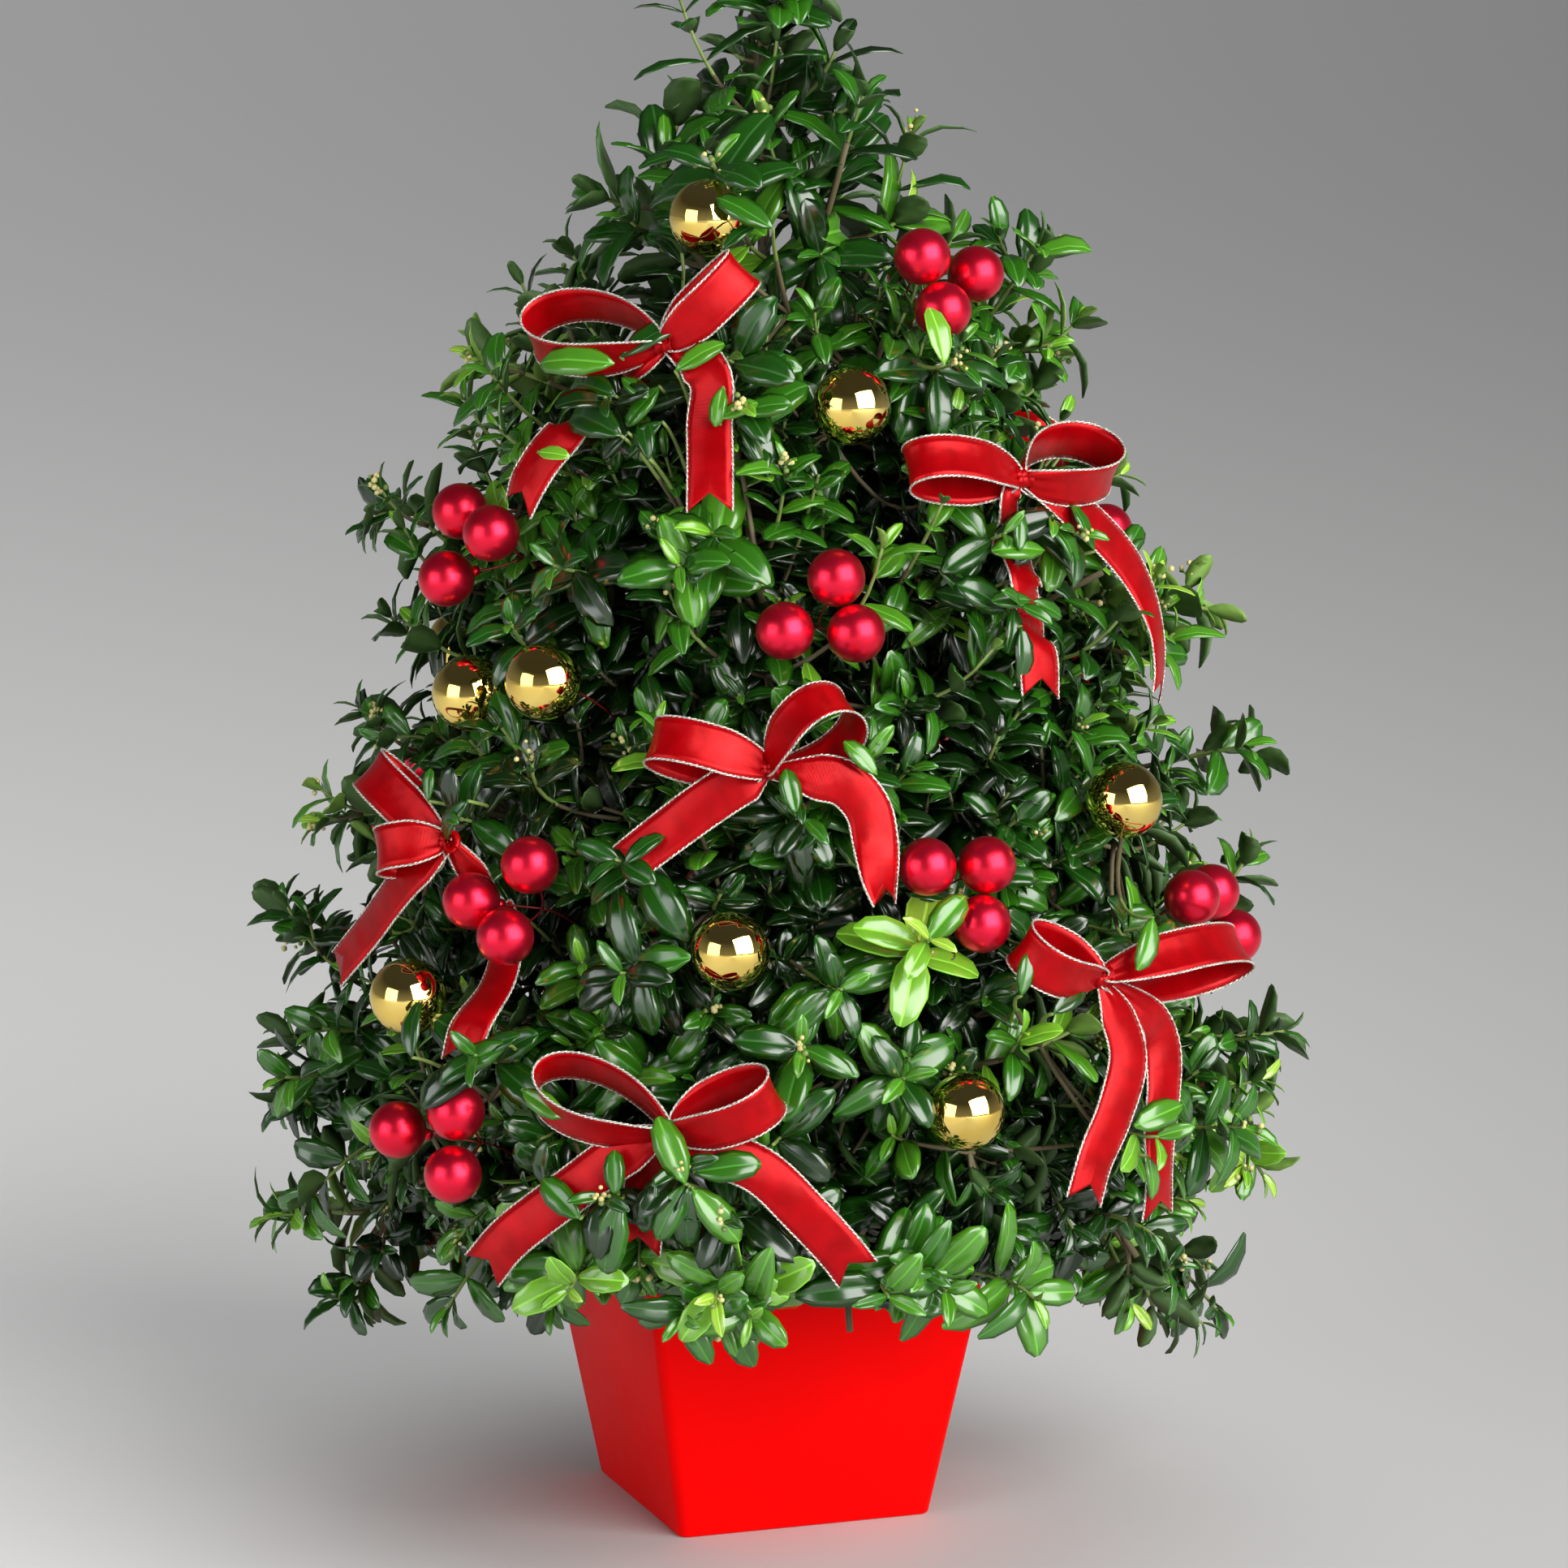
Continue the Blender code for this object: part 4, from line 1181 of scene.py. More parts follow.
# Open rosettes at the skin: a spot in the camera's picture, millimetres off the skin and how new they are. Those on
# the far side have an azimuth in degrees and a height instead of the spot. The rosettes low at the hem, near the
# bottom of the picture, are given high newness partly for newer growth and partly as painted light, which
# brightens leaves that lie in the shade under the crown.
ROSETTES = (
    (1147, 1157, 10, 4.2), (1037, 1219, 4, 2.2), (987, 1290, 4, 2.4), (1115, 1329, 4, 2.4), (765, 1199, 4, 1.0),
    (877, 656, 5, 2.0), (835, 696, 5, 2.4), (903, 475, 5, 1.6), (889, 1495, 6, 0.6), (1135, 1567, 4, 2.4),
    (889, 1629, 4, 3.4), (991, 1008, 4, 1.6), (682, 697, 4, 1.4), (1179, 446, 4, 1.4), (720, 444, 13, 1.2),
    (897, 1410, 12, 0.8), (1279, 637, 12, 1.6), (1534, 1387, 10, 2.4), (878, 200, 8, 1.8), (744, 489, 10, 0.6),
    (791, 432, 12, 1.2), (863, 440, 12, 1.8), (909, 500, 11, 2.2), (1337, 655, 12, 2.0), (1259, 655, 11, 1.8),
    (1259, 745, 10, 1.4), (1068, 935, 12, 2.6), (985, 985, 10, 1.4), (774, 1060, 11, 1.2), (550, 1005, 12, 0.8),
    (585, 1300, 10, 1.2), (1440, 1398, 11, 3.0), (1412, 1181, 14, 1.4), (825, 1425, 14, 1.2), (754, 1455, 11, 1.2),
    (690, 1470, 11, 1.0), (894, 1440, 12, 0.9), (881, 1600, 12, 3.2), (924, 1624, 11, 3.4), (840, 1624, 11, 2.6),
    (1095, 1599, 11, 2.6), (1166, 1591, 10, 2.6), (700, 1591, 8, 3.2), (1276, 1601, 8, 3.2),
)
FAR_ROSETTES = ((20, 0.23, 5, 2.6), (70, 0.18, 4, 1.6), (110, 0.29, 5, 2.2), (150, 0.20, 4, 1.4), (45, 0.35, 5, 1.8))
# Where the hem hangs lower: azimuth and breadth in degrees, and how much lower in metres.
HEM_DROPS = ((-145, 8, 0.020), (-114, 9, 0.030), (-87, 10, 0.026), (-62, 8, 0.022))
# Single leaves laid over the decorations: foot and tip, each a spot in the camera's picture and millimetres off the
# skin, then a tone.
LAID_LEAVES = (
    (756, 448, 16, 660, 436, 24, 3), (764, 440, 12, 828, 385, 15, 1), (831, 457, 12, 885, 417, 14, 3),
    (890, 477, 10, 879, 521, 12, 3), (884, 516, 10, 930, 491, 11, 3), (765, 537, 9, 687, 491, 9, 1),
    (758, 488, 8, 690, 457, 9, 1), (765, 465, 9, 796, 487, 10, 2), (662, 557, 10, 695, 558, 11, 4),
    (773, 533, 7, 736, 562, 6, 0), (816, 520, 4, 760, 552, 6, 1), (812, 476, 4, 768, 522, 6, 2),
    (800, 566, 5, 786, 508, 7, 1), (1348, 679, 12, 1326, 618, 13, 2), (1287, 678, 8, 1232, 671, 9, 3),
    (1270, 739, 9, 1226, 737, 10, 2), (1272, 740, 9, 1312, 758, 10, 2), (1258, 772, 9, 1270, 839, 10, 1),
    (1256, 679, 9, 1259, 629, 11, 2), (770, 1064, 11, 809, 1024, 12, 1), (981, 1003, 13, 969, 947, 14, 2),
    (1081, 955, 14, 1046, 912, 17, 3), (577, 987, 15, 531, 1027, 17, 1), (528, 987, 15, 527, 947, 17, 2),
    (508, 1303, 13, 501, 1231, 15, 1), (625, 1287, 9, 557, 1313, 10, 2), (1422, 1131, 20, 1413, 1190, 24, 3),
    (1259, 1227, 12, 1270, 1176, 15, 2), (1298, 1249, 12, 1344, 1206, 14, 1), (1458, 1361, 10, 1412, 1381, 12, 3),
    (1414, 1424, 10, 1429, 1477, 12, 3), (845, 1459, 14, 812, 1379, 19, 3), (855, 1444, 13, 936, 1431, 15, 2),
    (758, 1474, 12, 756, 1418, 14, 2), (715, 1502, 12, 666, 1452, 12, 2), (764, 1478, 12, 739, 1572, 12, 2),
    (644, 1343, 16, 688, 1372, 19, 3), (844, 1460, 12, 806, 1528, 12, 2), (849, 1462, 13, 842, 1542, 13, 1),
    (853, 1464, 13, 913, 1530, 13, 3), (808, 1455, 11, 782, 1520, 11, 1), (1163, 449, 12, 1152, 376, 15, 4),
    (952, 281, 13, 885, 238, 15, 2), (889, 308, 10, 922, 271, 13, 1),
)
# Where leaves lie over a ribbon or a ball: a spot in the camera's picture, millimetres off the skin, and reach in
# millimetres.
OVERGROWN = (
    (754, 478, -20, 24), (741, 444, 0, 10), (871, 453, 0, 8), (912, 511, 0, 9), (1236, 672, -6, 12), (1262, 758, -4, 9),
    (1415, 1404, 0, 11), (864, 1429, 0, 12), (900, 254, 0, 9), (534, 843, 0, 18), (1130, 1150, 0, 20),
    (576, 1010, 0, 8), (809, 439, 0, 6), (1304, 665, 0, 7), (1060, 941, 0, 7), (781, 1068, 0, 7), (599, 1299, 0, 10),
    (1375, 1186, 0, 8), (765, 1452, 0, 10), (705, 1470, 0, 8), (797, 1480, -5, 18),
)


@dataclass
class Foliage:
    """Twigs, leaves and flower buds that grow on from the limbs."""

    limbs: list[Limb]
    crown: Crown
    clearance: Clearance
    rng: random.Random
    main_spots: Spots
    long_spots: Spots
    fine_count: int = 1260
    leaf_length: float = 0.0188
    rise_heights: tuple = (0.06, 0.16, 0.36, 0.50)
    rises: tuple = (0.05, 0.30, 0.62, 1.15)
    thin_heights: tuple = (0.06, 0.10, 0.14, 0.20, 0.30, 0.38, 0.44, 0.49, 0.53)
    thin_depths: tuple = (0.030, 0.024, 0.017, 0.011, 0.007, 0.002, 0.004, 0.010, 0.018)
    sparse_heights: tuple = (0.415, 0.480)
    sparse_share: float = 0.93
    large_heights: tuple = (0.40, 0.50)
    large_share: float = 1.20
    crest_breadth: float = 0.98
    highest_leaf: float = 0.557
    front: float = radians(-109.5)
    hem_radii: tuple = (0.085, 0.125, 0.180)
    hem_heights: tuple = (0.095, 0.062, 0.046)
    front_hem_heights: tuple = (0.1015, 0.1110, 0.1200)
    kept_in_front: float = 0.12
    pair_sizes: tuple = (0.56, 0.84, 1.0, 1.06, 1.04, 0.98, 0.92)
    pair_leans: tuple = (26, 44, 56, 64, 69, 73, 76)
    tip_gaps: tuple = (0.0015, 0.0035, 0.0060)
    sag_heights: tuple = (0.10, 0.26)
    sags: tuple = (0.20, -0.10)
    stem_radii: tuple = (0.0017, 0.0012)
    twig_rings: int = 9
    twig_sides: int = 5
    woody_share: float = 0.45
    hidden_share: float = 0.75
    nudges: tuple = (0, 1.5, -1.5, 3, -3, 4.5, -4.5)
    shoots: list[Shoot] = field(default_factory=list)
    leaves: dict[int, list[Leaf]] = field(default_factory=dict)
    buds: Spots = field(default_factory=list)

    def __post_init__(self) -> None:
        """Lays the limbs' points out for the rule of the nearest limb."""
        self.limb_points = np.array([point for limb in self.limbs for point in limb.curve])
        lengths = [len(limb.curve) for limb in self.limbs]
        self.limb_starts = np.concatenate([[0], np.cumsum(lengths)[:-1]])
        self.parents: dict[int, list[Vector]] = {}
        for index, limb in enumerate(self.limbs):
            self.parents[index] = stretch(limb.curve, limb.bough, 1, 30)
            self.leaves[index] = []
        self.drifts = [(self.crown.at(azimuth, height), *rest) for azimuth, height, *rest in FRESH_DRIFTS]
        self.hollows = [
            (self.crown.at(azimuth, height), reach, depth / 1000) for azimuth, height, reach, depth in HOLLOWS
        ]

    def thinness(self, spot: Vector) -> float:
        """How far under the skin shoots end at a spot, beyond what their kind does."""
        thin = float(np.interp(spot.z, self.thin_heights, self.thin_depths))
        hollows = (depth * exp(-(((spot - place).length / reach) ** 2)) for place, reach, depth in self.hollows)
        return thin + sum(hollows)

    def hem(self, point: Sequence[float]) -> float:
        """How low leaves may hang at a point, which depends on how far out it is and is higher in front."""
        radius = hypot(point[0], point[1])
        bearing = atan2(point[1], point[0])
        facing = max(0.0, cos(bearing - self.front)) ** 2
        around = float(np.interp(radius, self.hem_radii, self.hem_heights))
        azimuth = degrees(bearing)
        drop = sum(fall * exp(-(((azimuth - place) / breadth) ** 2)) for place, breadth, fall in HEM_DROPS)
        return around + (float(np.interp(radius, self.hem_radii, self.front_hem_heights)) - around) * facing - drop

    def nearest_limb(self, point: Vector) -> int:
        """The limb that a point is nearest to."""
        distances = np.linalg.norm(self.limb_points - np.array(point), axis=1)
        return int(np.argmin(np.minimum.reduceat(distances, self.limb_starts)))

    def tone_of(self, spot: Vector, bright: float) -> Tone:
        """A spray's green: drifts of newer growth lie over older ones.

        Args:
            spot: Where the spray's tip is.
            bright: How much brighter than its drift the spray is; above nought it is newer growth, below nought it is
                painted shade for shoots inside the crown.

        Returns:
            The tone.
        """
        azimuth = atan2(spot.y, spot.x)
        wave = 0.22 * sin(3 * azimuth + 14 * spot.z) + 0.18 * sin(5 * azimuth - 31 * spot.z + 1.3)
        fresh = sum(lift * exp(-(((spot - place).length / reach) ** 2)) for place, reach, lift in self.drifts)
        level = (0.5 + wave) * 2.4 + self.rng.gauss(0.25, 0.7) + bright + fresh
        return Tone(int(min(max(level, 0), 5)))

    def grow_main_twigs(self) -> None:
        """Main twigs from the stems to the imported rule's spots, the long shoots, and the crest's own shoots."""
        crest = [(polar(radians(azimuth), radius, height), UP) for azimuth, height, radius in CREST_SHOOTS]
        for growth, spots in (
            (Growth.MAIN, self.main_spots), (Growth.LONG, self.long_spots), (Growth.CREST, crest)
        ):
            for spot, outward in spots:
                if growth is not Growth.MAIN or spot.z < self.sparse_heights[1]:
                    self.grow_main_twig(spot, outward, growth)

    def grow_main_twig(self, spot: Vector, outward: Vector, growth: Growth) -> None:
        """Grows one main twig from the stem of the nearest limb.

        Args:
            spot: The spot that it grows towards.
            outward: The way that faces out there.
            growth: How it grows.
        """
        limb = self.nearest_limb(spot)
        tip = spot - outward * growth.value.depth[0]
        tip.z = max(tip.z, self.hem(tip) + 0.016)
        stem = stretch(self.limbs[limb].curve, self.limbs[limb].bough, 1, 60)
        nearest = min(range(60), key=lambda i: (stem[i] - tip).length)
        start = nearest
        while start > 1 and (stem[start] - stem[nearest]).length < (stem[nearest] - tip).length * 0.55:
            start -= 1
        foot = stem[start]
        run = tip - foot
        ahead = (stem[min(start + 1, 59)] - stem[start - 1]).normalized()
        points = bezier(foot, foot + ahead * run.length * 0.30 + run * 0.25, tip, 12)
        if growth is Growth.CREST:
            points = bezier(foot, Vector((tip.x, tip.y, foot.z)).lerp(foot, 0.35), tip, 12)
        if not self.clearance.off_pot([p for p in points if (p - foot).length > 0.006]):
            return
        if self.clearance.crosses(points[3:]):
            return
        self.parents[limb] += points[2:-3]
        tone = self.tone_of(tip, growth.value.bright)
        self.shoots.append(Shoot(limb, points, growth, tone, 0.0013, 0.0007))
        if growth is Growth.LONG:
            self.add_side_shoots(limb, points, tone)

    def add_side_shoots(self, limb: int, points: list[Vector], tone: Tone) -> None:
        """Short shoots on both sides of a long one."""
        rng = self.rng
        tangent = tangents_of(np.array(points))
        for share, way in ((0.5, 1), (0.66, -1), (0.82, rng.choice((1, -1)))):
            index = round(share * (len(points) - 1))
            along = Vector(tangent[index])
            side = along.cross(UP).normalized() * way
            foot = points[index]
            tip = foot + along * rng.uniform(0.006, 0.014) + side * rng.uniform(0.010, 0.020)
            tip += UP * rng.uniform(-0.008, 0.012)
            tip.z = max(tip.z, self.hem(tip) + 0.010)
            line = bezier(foot, foot + side * 0.010 + along * 0.006, tip, 6)
            if not self.clearance.crosses(line[1:]):
                self.shoots.append(Shoot(limb, line, Growth.SIDE, tone, 0.0009, 0.0005, rng.random() < 0.2))

    def pick_growth(self, height: float) -> Growth:
        """One of the kinds of fine shoot, by their shares."""
        kinds = [kind for kind in Growth if kind.value.share]
        picked = self.rng.choices(kinds, [kind.value.share for kind in kinds])[0]
        if picked.value.inner and height > self.sparse_heights[1]:
            return Growth.OUTER
        return Growth.SHADED if picked is Growth.DEEP and height > self.sparse_heights[0] else picked

    def grow_fine_shoots(self) -> None:
        """Fine shoots from the nearest twig or stem of their own limb to just under the skin."""
        for spot, outward in self.crown.spots(self.fine_count, 0.007, self.rng, start=7):
            if self.rng.random() < np.interp(spot.z, self.sparse_heights, (0.0, self.sparse_share)):
                continue
            growth = self.pick_growth(spot.z)
            line = self.fine_line(spot, outward, growth.value)
            if line:
                tone = self.tone_of(line[-1], growth.value.bright)
                budding = self.rng.random() < growth.value.budding
                self.shoots.append(Shoot(self.nearest_limb(spot), line, growth, tone, budding=budding))

    def set_rosettes(self, rosettes: Sequence[tuple[float, ...]]) -> None:
        """Open rosettes at the skin, each turned a little to either side until its stalk clears the decorations."""
        for azimuth, height, lift, newer in rosettes:
            budding = self.rng.random() < Growth.ROSETTE.value.budding
            for nudge in self.nudges:
                outward = self.crown.outward(azimuth + nudge, height)
                tip = self.crown.at(azimuth + nudge, height, lift)
                limb = self.nearest_limb(tip)
                ideal = tip - outward * Growth.ROSETTE.value.reach[0]
                foot = min(self.parents[limb], key=lambda p: (p - ideal).length_squared)
                line = bezier(foot, tip - outward * (tip - foot).length * 0.5, tip, 10)
                if not self.clearance.crosses(line[1:]):
                    self.shoots.append(Shoot(limb, line, Growth.ROSETTE, Tone(int(newer)), budding=budding))
                    break

    def lay_leaves(self, laid: Sequence[tuple]) -> None:
        """Single leaves that lie over the decorations, each on a stalk from a near twig that it can reach."""
        for foot, tip, tone in laid:
            start, end, outward = self.crown.at(*foot), self.crown.at(*tip), self.crown.outward(*foot[:2])
            limb = self.nearest_limb(start)
            for twig in sorted(self.parents[limb], key=lambda p: (p - start).length_squared)[:16]:
                line = bezier(twig, start - outward * 0.4 * (start - twig).length, start, 10)
                if not self.clearance.crosses(line[1:-1]):
                    self.shoots.append(Shoot(limb, line, Growth.STALK, Tone(tone)))
                    break
            form = EDGED if tone >= Tone.BRIGHT else int(tone) % 3
            faces = outward + UP * 0.3
            leaf = Leaf(np.array(start), np.array((end - start).normalized()), np.array(faces), (end - start).length,
                        Tone(tone), form, 0.90)
            self.leaves[limb].append(leaf)

    def fine_line(self, spot: Vector, outward: Vector, habit: Habit) -> list[Vector]:
        """One fine shoot's line.

        Args:
            spot: The spot on the skin that it grows towards.
            outward: The way that faces out there.
            habit: How it grows.

        Returns:
            The line, or nothing where the pot or a decoration is in its way.
        """
        rng = self.rng
        depth = rng.uniform(*habit.depth) + self.thinness(spot) * (0.5 if habit.depth[0] < 0 else 1.0)
        tip = spot - outward * min(depth, 0.8 * hypot(spot.x, spot.y))
        tip.z = max(tip.z, self.hem(tip) + rng.uniform(0.010, 0.030))
        rise = float(np.interp(spot.z, self.rise_heights, self.rises))
        stray = Vector([rng.gauss(0, habit.stray) for _ in range(3)])
        heading = (outward * 0.9 + UP * rise + stray).normalized()
        ideal = tip - heading * rng.uniform(*habit.reach)
        foot = min(self.parents[self.nearest_limb(spot)], key=lambda p: (p - ideal).length_squared)
        length = (tip - foot).length
        sag = float(np.interp(spot.z, self.sag_heights, self.sags))
        line = bezier(foot, tip - heading * length * 0.5 + UP * length * sag, tip, 10)
        if not self.clearance.off_pot(line[3:]) or self.clearance.crosses(line[1:]):
            return []
        if self.clearance.hides(tip) and rng.random() < self.hidden_share:
            return []
        return line

    def dress(self) -> None:
        """Pairs of leaves back from each shoot's tip, each a quarter turn from the last."""
        for shoot in self.shoots:
            habit = shoot.growth.value
            row = np.array(shoot.points)
            ways = tangents_of(row)
            length = shoot.length()
            roll = self.rng.uniform(0, pi)
            gaps = [*self.tip_gaps] + [habit.spacing] * habit.pairs
            back = 0.0
            for pair in range(habit.pairs):
                back += gaps[pair] * self.rng.uniform(0.85, 1.2)
                share = 1 - back / length
                if share < 0.12:
                    break
                place = share * (len(row) - 1)
                low = min(int(place), len(row) - 2)
                foot = row[low] + (row[low + 1] - row[low]) * (place - low)
                self.add_pair(shoot, pair, foot, Vector(ways[low]), roll + pair * pi / 2)
            if shoot.budding:
                self.buds.append((Vector(row[-1]), Vector(ways[-1])))

    def add_pair(self, shoot: Shoot, pair: int, foot: Rows, tangent: Vector, turn: float) -> None:
        """Adds one pair of opposite leaves.

        Args:
            shoot: Where they grow.
            pair: The pair's number, from the shoot's tip.
            foot: Where they leave the shoot.
            tangent: The way the shoot runs there.
            turn: How far round it they stand, in radians.
        """
        rng, habit = self.rng, shoot.growth.value
        rank = min(pair, len(self.pair_sizes) - 1)
        out = Vector((foot[0], foot[1], 0.06)).normalized()
        side = tangent.orthogonal().normalized()
        side.rotate(Matrix.Rotation(turn + rng.gauss(0, 0.18), 3, tangent))
        for way in (side, -side):
            lean = radians(self.pair_leans[rank] + habit.spread + rng.gauss(0, 9))
            along = tangent * cos(lean) + way * sin(lean) - UP * rng.uniform(0.0, 0.14)
            faces = tangent + out * 0.45 + UP * 0.35
            size = self.leaf_length * habit.size * self.pair_sizes[rank] * rng.uniform(0.80, 1.16)
            if not habit.inner:
                size *= float(np.interp(foot[2], self.large_heights, (1.0, self.large_share)))
            tone = Tone(min(max(shoot.tone + (pair == 0) + rng.choice((0, 0, 0, 1, -1)), 0), 5))
            form = rng.choices(range(len(LEAF_FORMS)), (4, 4, 3, 2, 2))[0]
            if tone >= Tone.BRIGHT:
                form = EDGED
            if pair == 0:
                form = YOUNG_SHAPE
            # Painted shade: leaves inside the crown, and those far back on outer shoots, are dulled to the dark and
            # deep greens; those low in the crown also take the plain inner form.
            if (habit.inner and pair > 0) or (shoot.growth is Growth.OUTER and pair > 4):
                form = INNER if foot[2] < self.sparse_heights[0] else form
                tone = Tone(min(tone, Tone.DARK if rng.random() < 0.4 else Tone.DEEP))
            broad = rng.uniform(0.90, 1.12) * float(np.interp(foot[2], self.large_heights, (1.0, self.crest_breadth)))
            leaf = Leaf(foot, np.array(along.normalized()), np.array(faces), size, tone, form, broad)
            if self.allows(leaf):
                self.leaves[shoot.limb].append(leaf)

    def allows(self, leaf: Leaf) -> bool:
        """Whether a leaf keeps to the crown's heights, is clear of the pot and the decorations and hides none."""
        outline = leaf.outline()
        heights = [point.z for point in outline]
        if max(heights) > self.highest_leaf or min(heights) < self.hem(outline[3]):
            return False
        if not self.clearance.off_pot(outline):
            return False
        if self.clearance.crosses(outline) or self.clearance.crosses([outline[0], outline[3]]):
            return False
        hidden = self.clearance.hides(outline[3]) or self.clearance.hides(outline[1])
        return not hidden or self.rng.random() < self.kept_in_front

    def build_leaves(self, materials: Sequence[Material]) -> None:
        """One piece of joined leaves for each mass."""
        shapes = [form.shape() for form in ALL_FORMS]
        for index, limb in enumerate(self.limbs):
            bundle = Bundle()
            for leaf in self.leaves[index]:
                shape = shapes[leaf.form]
                young = leaf.tone >= Tone.BRIGHT
                slots = [2 * leaf.tone, 2 * leaf.tone + 1, 2 * len(Tone) + young]
                bundle.add(shape, shape.points @ leaf.matrix().T + leaf.foot, slots)
            piece(bundle.mesh(f"leaves_{limb.name}", materials), [f"foliage_{limb.name}"])
        log.info("leaves: %d", sum(map(len, self.leaves.values())))

    def build_twigs(self, woody: Material, green: Material) -> None:
        """One piece of joined stems, twigs and shoots for each mass."""
        rings, sides = self.twig_rings, self.twig_sides
        corners = [polar(2 * pi * corner / sides, 1, 0) for corner in range(sides)]
        bm = loft([[corner + UP * ring for corner in corners] for ring in range(rings)])
        for face in bm.faces:
            face.material_index = int(face.calc_center_median().z > (rings - 1) * self.woody_share)
        shape = Shape.of(bm)
        ring_of = np.rint(shape.points[:, 2]).astype(int)
        share = np.arange(rings) / (rings - 1)
        for index, limb in enumerate(self.limbs):
            bundle = Bundle()
            rows = [(stretch(limb.curve, limb.bough, 1, rings), *self.stem_radii, (0, 0))]
            for shoot in (shoot for shoot in self.shoots if shoot.limb == index):
                slots = (0, 0) if shoot.growth.value.inner else (0, 1)
                rows.append((stretch(shoot.points, 0, 1, rings), shoot.base_radius, shoot.tip_radius, slots))
            for points, base, tip, slots in rows:
                line = np.array(points)
                side, up = frames_of(line)
                radius = (base + (tip - base) * share)[ring_of, None]
                offset = side[ring_of] * shape.points[:, 0:1] + up[ring_of] * shape.points[:, 1:2]
                bundle.add(shape, line[ring_of] + offset * radius, slots)
            piece(bundle.mesh(f"twigs_{limb.name}", [woody, green]))

    def build_buds(self, material: Material, green: Material) -> None:
        """Clusters of cream flower buds at some of the tips."""
        shape, bundle, rng = pebble(), Bundle(), self.rng
        for tip, along in self.buds:
            for number in range(rng.randint(6, 10)):
                stray = Vector([rng.gauss(0, 0.0017) for _ in range(3)])
                place = tip + along * rng.uniform(0.0, 0.0035) + stray
                size = rng.uniform(0.0007, 0.0013)
                bundle.add(shape, shape.points * size + np.array(place), [int(number % 5 == 0)])
        piece(bundle.mesh("flower_buds", [material, green]))


# ---- decorations


@dataclass(frozen=True)
class Loop:
    """One loop of a bow: its far end on the crown, how deep it opens, and how it is turned over.

    With no tilt its outer layer faces straight out. A positive tilt lifts that layer, a negative one lowers it.
    """

    tip: Triple
    depth: float = 0.019
    tilt: float = 0.0


@dataclass(frozen=True)
class Bow:
    """A pinched bow of wired ribbon.

    Its points are azimuth in degrees, height and lift in millimetres, or spots in the camera's picture with a lift. A
    tail's points hold a fourth number, the angle in degrees that the ribbon is turned by there.
    """

    knot: Triple
    loops: tuple[Loop, ...]
    tails: tuple[tuple[tuple[float, float, float, float], ...], ...]

    def moved(self, place: Callable[..., tuple[float, ...]], *move: float) -> "Bow":
        """The same bow with each of its points put through a function."""
        loops = tuple(Loop(place(loop.tip, *move), loop.depth, loop.tilt) for loop in self.loops)
        tails = tuple(tuple(place(point, *move) for point in tail) for tail in self.tails)
        return Bow(place(self.knot, *move), loops, tails)


